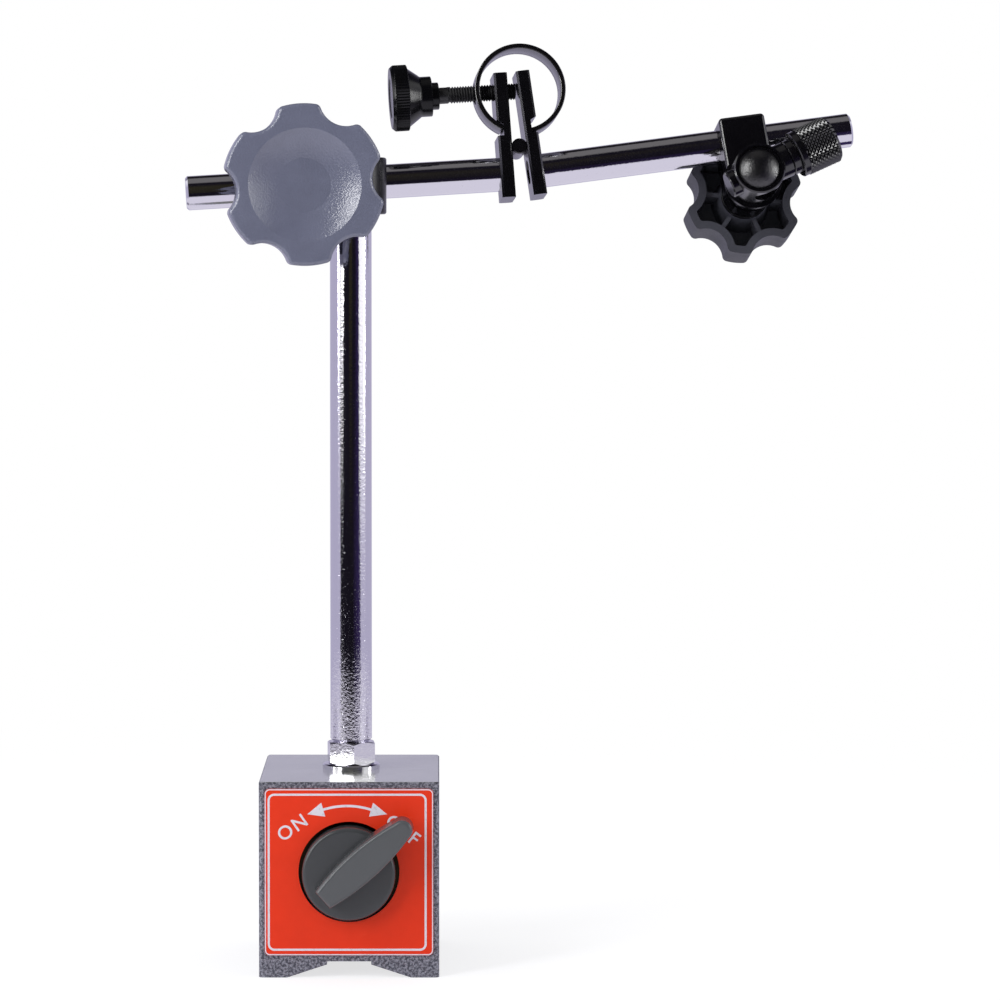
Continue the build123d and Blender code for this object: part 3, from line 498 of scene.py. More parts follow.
def white_print():
    """White ink, a little worn."""
    colours = bpy.context.scene.stand_finish
    material, tree, surface = blank("print_white")
    where = place(tree)
    wear = noise(tree, where, 0.7 * MM, 4.0, 0.7)
    principled(
        tree, surface,
        Base_Color=blend_colour(
            tree, soft_step(tree, wear, 0.30, 0.46), shade(colours.print_white, 0.80), colours.print_white
        ),
        Roughness=ramp(tree, wear, 0.3, 0.7, 0.35, 0.5),
        Normal=bump(tree, wear, 0.01 * MM, 0.5),
    )
    return material


def chrome(name, along, pits=0.5, roughness=0.05, tone=1.0, foot=None, head=None):
    """Bright plate over drawn steel, with fine streaks along the axis given and tiny pits.

    Where the heights of a foot and a head are given, the pits are rougher at the foot.
    """
    colours = bpy.context.scene.stand_finish
    material, tree, surface = blank(name)
    where = place(tree)
    drawn_out = tuple(0.02 if value else 1.0 for value in along)
    streaks = noise(tree, place(tree, drawn_out), 0.35 * MM, 2.0, 0.6)
    orange_peel = noise(tree, where, 0.75 * MM, 2.0, 0.6)
    specks = noise(tree, where, 0.6 * MM, 2.0, 0.6)
    pitted = soft_step(tree, specks, 0.68, 0.80)
    height = multiply_add(tree, streaks, 0.2, multiply_add(tree, pitted, -1.0, orange_peel))
    if foot is not None:
        pits = ramp(tree, split(tree, where)["Z"], foot, head, pits, pits * 0.22)
    principled(
        tree, surface,
        Base_Color=blend_colour(
            tree, ramp(tree, pitted, 0, 1, 0, 0.5),
            shade(colours.chrome, tone), shade(colours.chrome, tone / 2),
        ),
        Metallic=1.0,
        Roughness=ramp(tree, streaks, 0.3, 0.7, roughness, roughness * 2),
        Normal=bump(tree, height, 0.22 * MM, pits),
    )
    return material


def black_oxide(name="blued_steel", roughness=0.14, grain=0.08, grain_size=0.25, shine=1.75):
    """Blackened steel, paler where it is worn. The grain's size is in millimetres."""
    colours = bpy.context.scene.stand_finish
    material, tree, surface = blank(name)
    where = place(tree)
    clouds = noise(tree, where, 5 * MM, 4.0, 0.6)
    texture = noise(tree, where, grain_size * MM, 3.0, 0.6)
    wear = soft_step(tree, noise(tree, where, 1.4 * MM, 5.0, 0.75), 0.70, 0.82)
    tone = blend_colour(tree, clouds, shade(colours.black_oxide, 0.7), shade(colours.black_oxide, 1.5))
    principled(
        tree, surface,
        Base_Color=blend_colour(tree, ramp(tree, wear, 0, 1, 0, 0.25), tone, (0.06, 0.06, 0.075)),
        Roughness=ramp(tree, clouds, 0.3, 0.7, roughness, roughness * 1.4),
        IOR=shine,
        Normal=bump(tree, texture, grain_size * 0.15 * MM, grain),
    )
    return material


def moulded(name, tone, roughness=0.42, grain=0.5, grain_size=0.22, shine=1.46, painted_light_front=None):
    """Moulded plastic with a fine even grain and slight clouding. The grain's size is in millimetres.

    Where the depth of a front is given, the plastic is painted paler near it, as painted light on the faces
    nearest the front.
    """
    material, tree, surface = blank(name)
    where = place(tree)
    clouds = noise(tree, where, 8 * MM, 3.0, 0.6)
    texture = noise(tree, where, grain_size * MM, 2.0, 0.6)
    flecks = soft_step(tree, noise(tree, where, 0.5 * MM, 3.0, 0.6), 0.72, 0.80)
    plain = blend_colour(tree, clouds, shade(tone, 0.88), shade(tone, 1.12))
    if painted_light_front is not None:
        depth = split(tree, where)["Y"]
        # Painted light: the faces within a few millimetres of the front are blended paler, for the light the
        # lever's face catches.
        painted_light = ramp(tree, depth, painted_light_front + 1.5 * MM, painted_light_front + 6 * MM, 1, 0)
        plain = blend_colour(tree, painted_light, plain, shade(tone, 1.7))
    principled(
        tree, surface,
        Base_Color=blend_colour(tree, ramp(tree, flecks, 0, 1, 0, 0.5), plain, shade(tone, 2.2)),
        Roughness=ramp(tree, clouds, 0.3, 0.7, roughness * 0.9, roughness * 1.15),
        Normal=bump(tree, texture, grain_size * 0.2 * MM, grain),
        IOR=shine,
    )
    return material


def turned_metal(name, tone, roughness=0.3):
    """Turned bare metal with fine lines and stains."""
    material, tree, surface = blank(name)
    where = place(tree)
    lines = noise(tree, place(tree, (1, 0.05, 1)), 0.3 * MM, 3.0, 0.6)
    stains = noise(tree, where, 4 * MM, 4.0, 0.7)
    principled(
        tree, surface,
        Base_Color=blend_colour(tree, stains, shade(tone, 0.75), tone),
        Metallic=1.0,
        Roughness=ramp(tree, lines, 0.3, 0.7, roughness * 0.8, roughness * 1.3),
        Normal=bump(tree, lines, 0.01 * MM, 0.5),
    )
    return material


class STAND_OT_finishes(bpy.types.Operator):
    """Makes the finishes and gives them to the CAD nodes"""

    bl_idname = "stand.finishes"
    bl_label = "Finishes"

    def execute(self, context):
        colours = context.scene.stand_finish
        made = {
            "hammer": hammer_paint(),
            "red": red_print(),
            "print": white_print(),
            "column_chrome": chrome("column_chrome", ALONG_Z, pits=0.65, foot=56 * MM, head=92 * MM),
            "rod_chrome": chrome("rod_chrome", ALONG_X, pits=0.03),
            "worn_chrome": chrome("worn_chrome", ALONG_X, pits=0.10),
            "nut_chrome": chrome("nut_chrome", ALONG_Z, pits=0.16, roughness=0.07, tone=0.88),
            "black": black_oxide(),
            "dull_black": black_oxide("dull_black", roughness=0.42),
            "spring_blue": black_oxide("spring_blue", shine=2.2),
            "clamp_black": black_oxide("clamp_black", roughness=0.26, shine=1.4),
            "satin_black": black_oxide(
                "satin_black", roughness=0.25, grain=1.0, grain_size=0.7, shine=1.9
            ),
            "knob_grey": moulded(
                "knob_grey", colours.knob_grey, roughness=0.21, grain=1.0, grain_size=0.6, shine=1.85
            ),
            "knob_black": moulded("knob_black", colours.knob_black, roughness=0.50),
            "adjuster_black": moulded(
                "adjuster_black", shade(colours.knob_black, 0.05), roughness=0.20, grain=0.3, shine=1.38
            ),
            # The switch is painted paler at its lever's front face, as painted light.
            "switch_grey": moulded(
                "switch_grey", colours.switch_grey, roughness=0.20, grain=0.3,
                painted_light_front=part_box("switch_knob")[0].y,
            ),
            # The bearing's material carries the brass darkened as painted shade.
            "brass_in_painted_shade": turned_metal("turned_brass", colours.brass_in_painted_shade),
            "iron": turned_metal("machined_iron", colours.iron, 0.35),
        }
        # The spacers are painted over with the shoes, but keep a finish of their own.
        made["spacer"] = made["hammer"].copy()
        made["spacer"].name = "spacer_paint"
        finishes = {
            "hammer": ("left_pole_shoe", "right_pole_shoe"),
            "spacer": ("upper_spacer", "lower_spacer"),
            "red": ("face_label",),
            "column_chrome": ("column",),
            "nut_chrome": ("column_washer", "lock_nut"),
            "rod_chrome": ("left_rod",),
            "worn_chrome": ("right_rod",),
            "black": (
                "left_plate", "right_plate", "fulcrum_pin", "end_clamp",
                "friction_washer", "thrust_washer", "holder_sleeve", "thumb_screw",
            ),
            "spring_blue": ("spring_ring",),
            "dull_black": ("adjusting_screw",),
            "clamp_black": ("column_clamp", "main_washer", "main_eye_bolt", "arm_sleeve"),
            "satin_black": ("holder_bolt",),
            "knob_grey": ("main_knob",),
            "knob_black": ("star_knob",),
            "adjuster_black": ("adjusting_knob",),
            "switch_grey": ("switch_knob",),
            "brass_in_painted_shade": ("front_bearing",),
            "iron": (
                "rear_plug", "stop_pin", "rotor_magnet", "rotor_upper_segment", "rotor_lower_segment",
                "rotor_front_hub", "rotor_rear_hub", "main_knob_insert", "star_knob_insert",
            ),
        }
        dressed = set()
        for finish, nodes in finishes.items():
            for node in nodes:
                mesh = frame["nodes"][node].data
                mesh.materials.clear()
                mesh.materials.append(made[finish])
                dressed.add(node)
        if dressed != set(frame["nodes"]):
            raise RuntimeError(f"no finish for {sorted(set(frame['nodes']) - dressed)}")
        return {"FINISHED"}


# Pieces

LABEL_EDGE_MARGIN = 0.1 * MM
ARROW_HALF_SWEEP = radians(17.6)
ARROW_HEAD_TURN = radians(16)
ARROW_SHIFT = 0.5 * MM
WORD_SPACING = 1.2
CAPITAL_SHARE = 0.70  # a capital's height in the font's size
STROKE_SHARE = 0.012  # what is added to the strokes, in capitals


def raise_ink(ink):
    bpy.ops.mesh.extrude_region_move(TRANSFORM_OT_translate={"value": (0, 0, ink)})


def printed_outline(name, width, height, corner, line, ink):
    """A rounded rectangle of one line: a plane with its corners bevelled, inset and emptied."""
    piece = begin(name, bpy.ops.mesh.primitive_plane_add, size=1)
    stretch(width, height)
    bpy.ops.mesh.bevel(affect="VERTICES", offset=corner, offset_type="OFFSET", segments=8)
    bpy.ops.mesh.select_mode(type="FACE")
    select_all()
    bpy.ops.mesh.inset(thickness=line, depth=0)
    bpy.ops.mesh.delete(type="FACE")
    select_all()
    raise_ink(ink)
    leave_edit()
    return piece


class STAND_OT_label_print(bpy.types.Operator):
    """Prints the frame, the double arrow and the two words on the red label"""

    bl_idname = "stand.label_print"
    bl_label = "Label print"

    def execute(self, context):
        settings = context.scene.stand_label
        white = bpy.data.materials["print_white"]
        upright = Matrix.Rotation(pi / 2, 4, "X")
        face = Matrix.Translation((0, -settings.face, settings.centre_height)) @ upright
        edge = printed_outline(
            "label_edge_line", settings.width - LABEL_EDGE_MARGIN, settings.height - LABEL_EDGE_MARGIN,
            settings.corner, settings.edge_line, settings.ink,
        )
        put(edge, face)
        outline = printed_outline(
            "label_frame", settings.frame_width, settings.frame_height, settings.frame_corner,
            settings.frame_line, settings.ink,
        )
        put(outline, Matrix.Translation((-settings.frame_shift, 0, 0)) @ face)
        pieces = [edge, outline, self.arrow(settings, face)]
        # Each word's middle, across and up from the stand's origin, and its lean.
        words = (
            ("label_on", settings.on_word, -15.9 * MM, 42.5 * MM, radians(35)),
            ("label_off", settings.off_word, 15.1 * MM, 41.9 * MM, radians(-38)),
        )
        for name, word, across, up, lean in words:
            middle = Matrix.Translation((across, -settings.face - settings.ink / 2, up))
            pieces.append(self.word(settings, name, word, middle @ upright @ Matrix.Rotation(lean, 4, "Z")))
        for piece in pieces:
            finish_piece(piece, "base", white)
        return {"FINISHED"}

    def arrow(self, settings, face):
        """The curve is spun, and each head is a triangle at its end."""
        radius = settings.arrow_radius
        sweep = ARROW_HALF_SWEEP
        curve = begin("label_arrow", bpy.ops.mesh.primitive_plane_add, size=1)
        stretch(0, settings.arrow_line)
        bpy.ops.mesh.remove_doubles(threshold=0.01 * MM)
        bpy.ops.transform.translate(value=(0, radius, 0))
        turn(-sweep, "Z")
        bpy.ops.mesh.spin(steps=24, angle=2 * sweep, center=(0, 0, 0), axis=(0, 0, 1))
        pick("FACE", lambda middle: True)
        raise_ink(settings.ink)
        leave_edit()
        parts = [curve]
        for side in (-1, 1):
            head = begin(
                "label_arrow_head", bpy.ops.mesh.primitive_circle_add,
                vertices=3, radius=1, fill_type="NGON",
            )
            # The triangle is moved onto its base, and is 1.5 high and the root of 3 wide.
            bpy.ops.transform.translate(value=(0, 0.5, 0))
            stretch(settings.head_width / sqrt(3), settings.head_length / 1.5)
            raise_ink(settings.ink)
            leave_edit()
            lean = Matrix.Rotation(-side * (pi / 2 + ARROW_HEAD_TURN), 4, "Z")
            end = Matrix.Translation((side * radius * sin(sweep), radius * cos(sweep), 0))
            put(head, end @ lean)
            parts.append(head)
        whole = join("label_arrow", parts)
        centre_up = settings.arrow_top - radius - settings.centre_height
        put(whole, face @ Matrix.Translation((-ARROW_SHIFT, centre_up, 0)))
        return whole

    def word(self, settings, name, word, matrix):
        bpy.ops.object.select_all(action="DESELECT")
        bpy.ops.object.text_add()
        text = bpy.context.object
        text.data.body = word
        text.data.align_x = "CENTER"
        text.data.align_y = "CENTER"
        text.data.size = settings.word_height / CAPITAL_SHARE
        text.data.space_character = WORD_SPACING
        text.data.extrude = settings.ink / 2
        text.data.offset = STROKE_SHARE * settings.word_height
        bpy.ops.object.convert(target="MESH")
        text.name = name
        text.data.name = name
        put(text, matrix)
        return text


THREAD_STEPS = 28
THREAD_MERGE = 0.005 * MM
THREAD_STOP = 0.65 * MM  # from the last thread to the tip
NECK_IN_KNOB = 4 * MM


class STAND_OT_adjusting_screw(bpy.types.Operator):
    """Cuts the adjusting screw's thread, with its plain neck and rounded tip"""

    bl_idname = "stand.adjusting_screw"
    bl_label = "Adjusting screw"

    def execute(self, context):
        thread = context.scene.stand_thread
        outer = thread.diameter / 2
        inner = outer - thread.depth
        start = -thread.neck + thread.plain
        end = thread.reach - THREAD_STOP
        turns = int((end - start) / thread.pitch)
        # Half a square, its corner outwards, is one turn's section.
        piece = begin("screw_thread", bpy.ops.mesh.primitive_plane_add, size=1)
        turn(pi / 4, "Z")
        pick("VERT", lambda point: point.x < -0.1)
        bpy.ops.mesh.delete(type="VERT")
        select_all()
        stretch(thread.depth * sqrt(2), thread.pitch / sqrt(2))
        turn(-pi / 2, "X")
        bpy.ops.transform.translate(value=(inner, 0, start + thread.pitch / 2))
        bpy.ops.object.mode_set(mode="OBJECT")
        screw = piece.modifiers.new("thread", "SCREW")
        screw.screw_offset = thread.pitch
        screw.iterations = turns
        screw.steps = THREAD_STEPS
        screw.render_steps = THREAD_STEPS
        screw.use_merge_vertices = True
        screw.merge_threshold = THREAD_MERGE
        apply_modifiers(piece)
        bpy.ops.object.mode_set(mode="EDIT")
        select_all()
        bpy.ops.mesh.remove_doubles(threshold=THREAD_MERGE)
        # Each open end is drawn out flat and closed.
        for level, direction in ((start, -1), (start + turns * thread.pitch, 1)):
            bpy.ops.mesh.select_mode(type="EDGE")
            bpy.ops.mesh.select_all(action="DESELECT")
            bpy.ops.mesh.select_non_manifold()
            mesh = bmesh.from_edit_mesh(piece.data)
            for edge in mesh.edges:
                if edge.select and abs(edge.verts[0].co.z - level) > thread.pitch * 1.3:
                    edge.select_set(False)
            bmesh.update_edit_mesh(piece.data)
            bpy.ops.mesh.extrude_edges_move()
            bpy.ops.transform.resize(
                value=(1, 1, 0), center_override=(0, 0, level + direction * thread.pitch / 2)
            )
            bpy.ops.mesh.edge_face_add()
        leave_edit(radians(28))
        neck = outer - 0.1 * MM
        core = inner - 0.05 * MM
        profile = [
            (0, -thread.neck - NECK_IN_KNOB),
            (neck, -thread.neck - NECK_IN_KNOB),
            (neck, start - 0.3 * MM),
            (core, start + 0.2 * MM),
            (core, thread.reach - 0.45 * MM),
            (outer * 0.7, thread.reach - 0.25 * MM),
            (outer * 0.45, thread.reach - 0.09 * MM),
            (outer * 0.2, thread.reach - 0.02 * MM),
            (0, thread.reach),
        ]
        plain = begin_profile("screw_neck", profile)
        turn_profile(profile, steps=40)
        leave_edit(radians(35))
        piece = join("adjusting_screw_thread", [piece, plain])
        put(piece, axes(SCREW_ORIGIN, HEAD_ALONG, HEAD_UP))
        black = bpy.data.materials["dull_black"]
        finish_piece(piece, "feed_screw", black, ["adjusting_screw"])
        return {"FINISHED"}


# (radius, level along the screw) in millimetres, from the bore's bottom over the cone to the grip
ADJUSTING_KNOB = (
    (0, -20.2), (2.6, -20.2), (2.6, -16.1), (3.85, -16.1), (4.0, -16.25), (4.0, -18.2), (5.75, -18.2),
    (5.9, -18.35), (5.9, -21.2),
    (5.98, -21.5), (6.4, -22.0), (8.6, -25.0), (8.7, -25.15), (9.35, -25.15), (9.6, -25.25), (9.7, -25.45),
    (9.7, -27.3), (9.7, -29.1), (9.6, -29.35), (8.9, -30.2), (6.0, -30.2), (5.7, -29.95), (0, -29.95),
)
ADJUSTING_GRIP = 9.7 * MM
TOOTHED_FROM = 9.5 * MM  # the radius beyond which the grip has teeth


class STAND_OT_adjusting_knob(bpy.types.Operator):
    """Turns the adjusting knob and cuts its straight knurl"""

    bl_idname = "stand.adjusting_knob"
    bl_label = "Adjusting knob"

    def execute(self, context):
        knurl = context.scene.stand_knurl
        profile = in_metres(ADJUSTING_KNOB)
        steps = 2 * knurl.straight_teeth
        piece = begin_profile("adjusting_knob_grip", profile)
        turn_profile(profile, steps)

        def valley(point):
            return from_axis(point) > TOOTHED_FROM and step_round(point, steps) % 2 == 1

        pick("VERT", valley)
        inwards = 1 - knurl.straight_depth / ADJUSTING_GRIP
        stretch(inwards, inwards)
        leave_edit(radians(30))
        put(piece, axes(SCREW_ORIGIN, HEAD_ALONG, HEAD_UP))
        black = bpy.data.materials["adjuster_black"]
        finish_piece(piece, "screw_knob", black, ["adjusting_knob"])
        return {"FINISHED"}


# (radius, level along the screw) in millimetres, before and after the knurl
THUMB_SHANK = (
    (0, 4.2), (1.7, 4.2), (2.0, 4.5), (2.0, 9.8), (4.9, 9.8), (5.25, 10.1), (5.25, 12.1), (5.1, 12.3),
    (6.5, 12.3), (6.8, 12.55), (6.8, 14.1),
)
THUMB_END = ((6.3, 24.5), (4.6, 24.5), (4.3, 24.3), (0, 24.3))
THUMB_RADIUS = 7.1
KNURL_LOW, KNURL_HIGH = 14.4, 23.7
KNURL_FROM = 6.95 * MM  # the radius beyond which points are the knurl's
KNURL_FACES_FROM = 6.4 * MM  # and beyond which the middles of faces are


class STAND_OT_thumb_screw(bpy.types.Operator):
    """Turns the holder's thumb screw and cuts its diamond knurl"""

    bl_idname = "stand.thumb_screw"
    bl_label = "Thumb screw"

    def execute(self, context):
        knurl = context.scene.stand_knurl
        low, high = KNURL_LOW, KNURL_HIGH
        rows = [(THUMB_RADIUS, low + (high - low) * row / knurl.rows) for row in range(knurl.rows + 1)]
        profile = in_metres([*THUMB_SHANK, *rows, *THUMB_END])
        steps = 2 * knurl.diamonds
        piece = begin_profile("thumb_screw_grip", profile)
        turn_profile(profile, steps)

        def valley(point):
            row = round((point.z / MM - low) / (high - low) * knurl.rows)
            return from_axis(point) > KNURL_FROM and (step_round(point, steps) + row) % 2 == 1

        def knurled(middle):
            return low * MM < middle.z < high * MM and from_axis(middle) > KNURL_FACES_FROM

        pick("VERT", valley)
        inwards = 1 - knurl.diamond_depth / (THUMB_RADIUS * MM)
        stretch(inwards, inwards)
        pick("FACE", knurled)
        bpy.ops.mesh.quads_convert_to_tris(quad_method="SHORTEST_DIAGONAL")
        leave_edit(radians(12))
        put(piece, axes(THUMB_ORIGIN, THUMB_ALONG, THUMB_SIDE))
        black = bpy.data.materials["blued_steel"]
        finish_piece(piece, "thumb_screw", black, ["thumb_screw"])
        return {"FINISHED"}


NOTCH_RIGHT = 4.1 * MM  # where the band's ends hook in, on each side of the pin
NOTCH_LEFT = 4.35 * MM
SCREW_RISE = 17.1 * MM  # of the adjusting screw's axis above the pin
RING_STEPS = 120


class STAND_OT_spring_ring(bpy.types.Operator):
    """Bends the spring ring, with its ends hooked in at the two plates on each side of the pin"""

    bl_idname = "stand.spring_ring"
    bl_label = "Spring ring"

    def execute(self, context):
        ring = context.scene.stand_spring
        middle = ring.radius - ring.thickness / 2
        piece = begin("spring_ring_band", bpy.ops.mesh.primitive_plane_add, size=1)
        stretch(ring.thickness, ring.width)
        bpy.ops.mesh.bevel(affect="VERTICES", offset=ring.edge, segments=3)
        bpy.ops.transform.translate(value=(middle, 0, 0))
        right, left = NOTCH_RIGHT - ring.shift, NOTCH_LEFT + ring.shift
        begin_angle = -pi / 2 + atan2(right, sqrt(middle**2 - right**2))
        end_angle = 3 * pi / 2 - atan2(left, sqrt(middle**2 - left**2))
        select_all()
        turn(begin_angle, "Y")
        bpy.ops.mesh.spin(
            steps=RING_STEPS, angle=end_angle - begin_angle, center=(0, 0, 0), axis=(0, 1, 0)
        )
        leave_edit(radians(32))
        cutter = begin(
            "ring_hole", bpy.ops.mesh.primitive_cylinder_add,
            vertices=48, radius=ring.hole / 2, depth=12 * MM,
        )
        turn(pi / 2, "Y")
        bpy.ops.transform.translate(value=(-middle, 0, SCREW_RISE - ring.rise))
        leave_edit()
        hole = piece.modifiers.new("screw hole", "BOOLEAN")
        hole.object = cutter
        hole.operation = "DIFFERENCE"
        hole.solver = "EXACT"
        apply_modifiers(piece)
        bpy.data.objects.remove(cutter)
        centre = PIN_CENTRE + HEAD_UP * ring.rise + HEAD_ALONG * ring.shift
        put(piece, axes(centre, HEAD_UP, HEAD_ALONG))
        piece.data.materials.clear()
        piece.data.materials.append(bpy.data.materials["spring_blue"])
        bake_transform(piece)
        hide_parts("spring_ring")
        return {"FINISHED"}


# Stage

WHITE = (1, 1, 1, 1)
SHADED_FLOOR = (0.42, 0.42, 0.44, 1)
FLOOR_GLOW = 0.70
PLAIN_FLOOR = (0.8, 0.8, 0.8, 1)

# Where one card ends and the next is full, in directions level with the stand: X to the right, Y away
# from the camera, and across to either side. A skew sets a limit differently on the right and the left.
DARK_MIDDLE_ENDS = (0.06, 0.20)
DARK_EDGE_BEGINS = (0.40, 0.69)
WHITE_BEGINS, WHITE_SKEW = (0.68, 0.74), -0.03
BEHIND_BEGINS, BEHIND_SKEW = (-0.19, -0.12), -0.135

# The same for the height of a direction, in the world.
BEHIND_ENDS = (0.30, 0.62)
OVERHEAD_BEGINS = (0.55, 0.80)
CEILING_BEGINS = (0.88, 0.96)

# The same on the table, where a reach is a distance from the stand in metres.
FLOOR_WHITE_REACH = (0.15, 0.55)
NEAR_EDGE_BEGINS = (0.2, 0.7)
NEAR_ENDS, NEAR_SKEW = (-0.58, -0.50), 0.046
FAR_REACH, FAR_SKEW = (2.6, 5.4), 1.2
BASE_REACH, BASE_SKEW = (0.34, 0.46), -0.22
STRIP_BEGINS, STRIP_ENDS = (-0.06, 0.04), (0.44, 0.56)
STRIP_FROM_REACH, STRIP_TO_REACH = (0.18, 0.20), (0.36, 0.42)

# Each light's name, which is also its power's in the settings, its place, its aim and its size in metres
LIGHTS = (
    ("key", (-0.73, -0.74, 0.66), (0.0, 0, 0.20), (0.24, 1.00)),
    ("left_strip", (-1.03, -0.34, 0.40), (0.0, 0, 0.24), (0.10, 0.50)),
    ("right_strip", (1.12, -0.16, 0.38), (0.03, 0, 0.24), (0.10, 0.50)),
)

EYE = (0.02474, -1.130, 0.2073)
EYE_DOWN = 0.0399
LENS, SENSOR = 141.03, 36
SHIFT_ACROSS, SHIFT_UP = 0.0634, -0.10


def cards(tree, direction, stage):
    """What bright metal reflects level with it, dark in front and white at the sides, and how far behind."""
    level = split(tree, direction)
    across = absolute(tree, level["X"])
    dark = blend_colour(
        tree, ramp(tree, level["X"], *DARK_EDGE_BEGINS), stage.dark_card, stage.dark_edge
    )
    dark = blend_colour(tree, ramp(tree, across, *DARK_MIDDLE_ENDS), stage.dark_middle, dark)
    sideways = multiply_add(tree, level["X"], WHITE_SKEW, across)
    card = blend_colour(tree, soft_step(tree, sideways, *WHITE_BEGINS), dark, stage.white_card)
    away = multiply_add(tree, level["X"], BEHIND_SKEW, level["Y"])
    return card, soft_step(tree, away, *BEHIND_BEGINS)


def table_cards(tree, where, reach, stage):
    """What bright metal reflects from the table: pale with two dark strips by the stand, then cards."""
    outward = add(tree, "ShaderNodeVectorMath", {"operation": "NORMALIZE"}, i0=where).outputs["Vector"]
    level = split(tree, outward)
    far, behind = cards(tree, outward, stage)
    far = blend_colour(tree, behind, far, stage.backdrop)
    near = blend_colour(
        tree, ramp(tree, level["X"], *NEAR_EDGE_BEGINS), stage.dark_card, stage.dark_edge
    )
    aside = multiply_add(tree, level["X"], NEAR_SKEW, level["Y"])
    near = blend_colour(tree, soft_step(tree, aside, *NEAR_ENDS), near, stage.backdrop)
    far_reach = multiply_add(tree, level["X"], FAR_SKEW, reach)
    far = blend_colour(tree, ramp(tree, far_reach, *FAR_REACH), near, far)
    pale = stage.table_card
    base = blend_colour(tree, soft_step(tree, level["Y"], *STRIP_ENDS), stage.dark_edge, pale)
    base = blend_colour(tree, soft_step(tree, level["Y"], *STRIP_BEGINS), pale, base)
    base = blend_colour(tree, soft_step(tree, reach, *STRIP_FROM_REACH), pale, base)
    base = blend_colour(tree, soft_step(tree, reach, *STRIP_TO_REACH), base, pale)
    base_reach = multiply_add(tree, absolute(tree, level["X"]), BASE_SKEW, reach)
    return blend_colour(tree, soft_step(tree, base_reach, *BASE_REACH), base, far)


def table_finish(stage):
    """White to the camera, apart from the shadow, with cards for bright metal and plain to other rays."""
    material, tree, surface = blank("white_table")
    rays = add(tree, "ShaderNodeLightPath").outputs
    where = place(tree)
    lit = add(tree, "ShaderNodeBsdfDiffuse", Color=SHADED_FLOOR).outputs[0]
    glow = add(tree, "ShaderNodeEmission", Color=WHITE, Strength=FLOOR_GLOW).outputs[0]
    shaded = add(tree, "ShaderNodeAddShader", i0=lit, i1=glow).outputs[0]
    white = add(tree, "ShaderNodeEmission", Color=WHITE, Strength=1.0).outputs[0]
    reach = add(tree, "ShaderNodeVectorMath", {"operation": "LENGTH"}, i0=where).outputs["Value"]
    seen = mix_shaders(tree, soft_step(tree, reach, *FLOOR_WHITE_REACH), shaded, white)
    mirrored = add(
        tree, "ShaderNodeEmission", Color=table_cards(tree, where, reach, stage), Strength=stage.glow
    ).outputs[0]
    plain = add(tree, "ShaderNodeBsdfDiffuse", Color=PLAIN_FLOOR).outputs[0]
    unseen = mix_shaders(tree, rays["Is Glossy Ray"], plain, mirrored)
    tree.links.new(mix_shaders(tree, rays["Is Camera Ray"], unseen, seen), surface)
    return material


def studio_world(stage):
    """White to the camera, plain light all round, and cards for bright metal to reflect."""
    world = bpy.data.worlds.new("studio")
    world.use_nodes = True
    tree = world.node_tree
    tree.nodes.clear()
    output = add(tree, "ShaderNodeOutputWorld")
    rays = add(tree, "ShaderNodeLightPath").outputs
    direction = add(tree, "ShaderNodeTexCoord").outputs["Generated"]
    up = split(tree, direction)["Z"]
    card, behind = cards(tree, direction, stage)
    lowered = ramp(tree, up, *BEHIND_ENDS, 1.0, 0.0)
    behind = add(tree, "ShaderNodeMath", {"operation": "MULTIPLY"}, i0=behind, i1=lowered).outputs[0]
    mirrored = blend_colour(tree, ramp(tree, up, *OVERHEAD_BEGINS), card, stage.dark_card)
    mirrored = blend_colour(tree, behind, mirrored, stage.backdrop)
    mirrored = blend_colour(tree, soft_step(tree, up, *CEILING_BEGINS), mirrored, stage.ceiling)
    seen = add(tree, "ShaderNodeBackground", Color=WHITE, Strength=1.0).outputs[0]
    ambient = add(tree, "ShaderNodeBackground", Color=WHITE, Strength=stage.ambient).outputs[0]
    mirrored = add(tree, "ShaderNodeBackground", Color=mirrored, Strength=stage.glow).outputs[0]
    unseen = mix_shaders(tree, rays["Is Glossy Ray"], ambient, mirrored)
    tree.links.new(mix_shaders(tree, rays["Is Camera Ray"], unseen, seen), output.inputs["Surface"])
    bpy.context.scene.world = world


def soft_light(name, place_at, aim, size, energy):
    light = bpy.data.lights.new(name, "AREA")
    light.shape = "RECTANGLE"
    light.size, light.size_y = size
    light.energy = energy
    lamp = bpy.data.objects.new(name, light)
    bpy.context.scene.collection.objects.link(lamp)
    lamp.location = place_at
    lamp.rotation_euler = (Vector(aim) - Vector(place_at)).to_track_quat("-Z", "Y").to_euler()


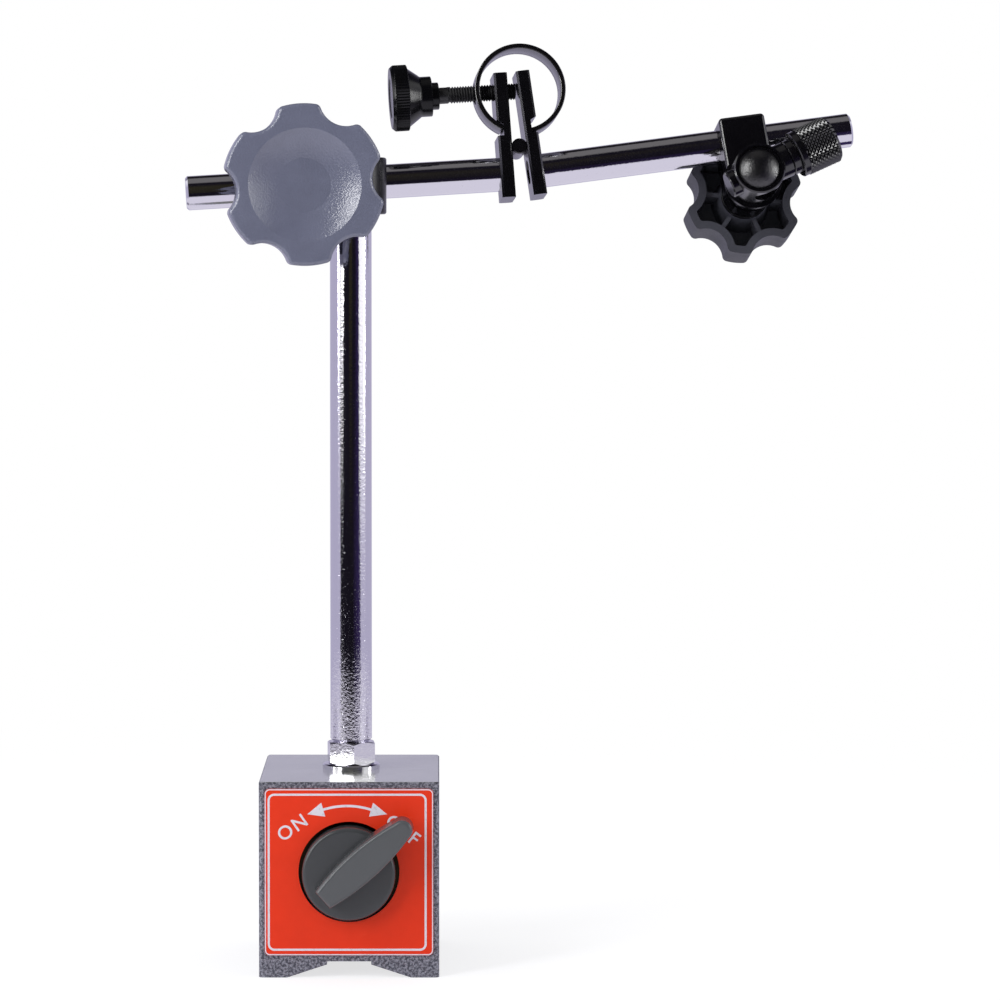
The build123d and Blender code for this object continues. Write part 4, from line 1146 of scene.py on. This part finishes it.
class STAND_OT_stage(bpy.types.Operator):
    """Sets up the white table, the studio light and the camera"""

    bl_idname = "stand.stage"
    bl_label = "Stage"

    def execute(self, context):
        stage = context.scene.stand_stage
        table = begin("table", bpy.ops.mesh.primitive_plane_add, size=stage.table)
        bpy.ops.mesh.subdivide(number_cuts=3)
        leave_edit()
        table.data.materials.append(table_finish(stage))
        studio_world(stage)
        for name, place_at, aim, size in LIGHTS:
            soft_light(name, place_at, aim, size, getattr(stage, name))
        camera = bpy.data.cameras.new("camera")
        camera.lens = LENS
        camera.sensor_width = SENSOR
        camera.shift_x = SHIFT_ACROSS
        camera.shift_y = SHIFT_UP
        camera.clip_start = 0.01
        eye = bpy.data.objects.new("camera", camera)
        context.scene.collection.objects.link(eye)
        eye.location = EYE
        eye.rotation_euler = (pi / 2 - EYE_DOWN, 0, 0)
        context.scene.camera = eye
        context.scene.view_settings.view_transform = "Standard"
        return {"FINISHED"}


# Add-on


class STAND_PT_panel(bpy.types.Panel):
    """Lists the stand's operators and their settings"""

    bl_label = "Indicator Stand"
    bl_idname = "STAND_PT_panel"
    bl_space_type = "VIEW_3D"
    bl_region_type = "UI"
    bl_category = "Indicator Stand"

    def draw(self, context):
        for operator in OPERATORS:
            self.layout.operator(operator.bl_idname)
        for group in GROUPS:
            settings = getattr(context.scene, group)
            box = self.layout.box()
            for name in settings.__annotations__:
                box.prop(settings, name)


GROUPS = {
    "stand_label": LabelPrintSettings,
    "stand_thread": ThreadSettings,
    "stand_knurl": KnurlSettings,
    "stand_spring": SpringSettings,
    "stand_finish": FinishSettings,
    "stand_stage": StageSettings,
}
OPERATORS = (
    STAND_OT_finishes, STAND_OT_label_print, STAND_OT_adjusting_screw, STAND_OT_adjusting_knob,
    STAND_OT_thumb_screw, STAND_OT_spring_ring, STAND_OT_stage,
)


def register():
    for group, settings in GROUPS.items():
        bpy.utils.register_class(settings)
        setattr(bpy.types.Scene, group, PointerProperty(type=settings))
    for operator in OPERATORS:
        bpy.utils.register_class(operator)
    bpy.utils.register_class(STAND_PT_panel)


def unregister():
    bpy.utils.unregister_class(STAND_PT_panel)
    for operator in reversed(OPERATORS):
        bpy.utils.unregister_class(operator)
    for group, settings in reversed(GROUPS.items()):
        delattr(bpy.types.Scene, group)
        bpy.utils.unregister_class(settings)


def main():
    register()
    for operator in OPERATORS:
        getattr(bpy.ops.stand, operator.bl_idname.removeprefix("stand."))()


if __name__ == "__main__":
    main()
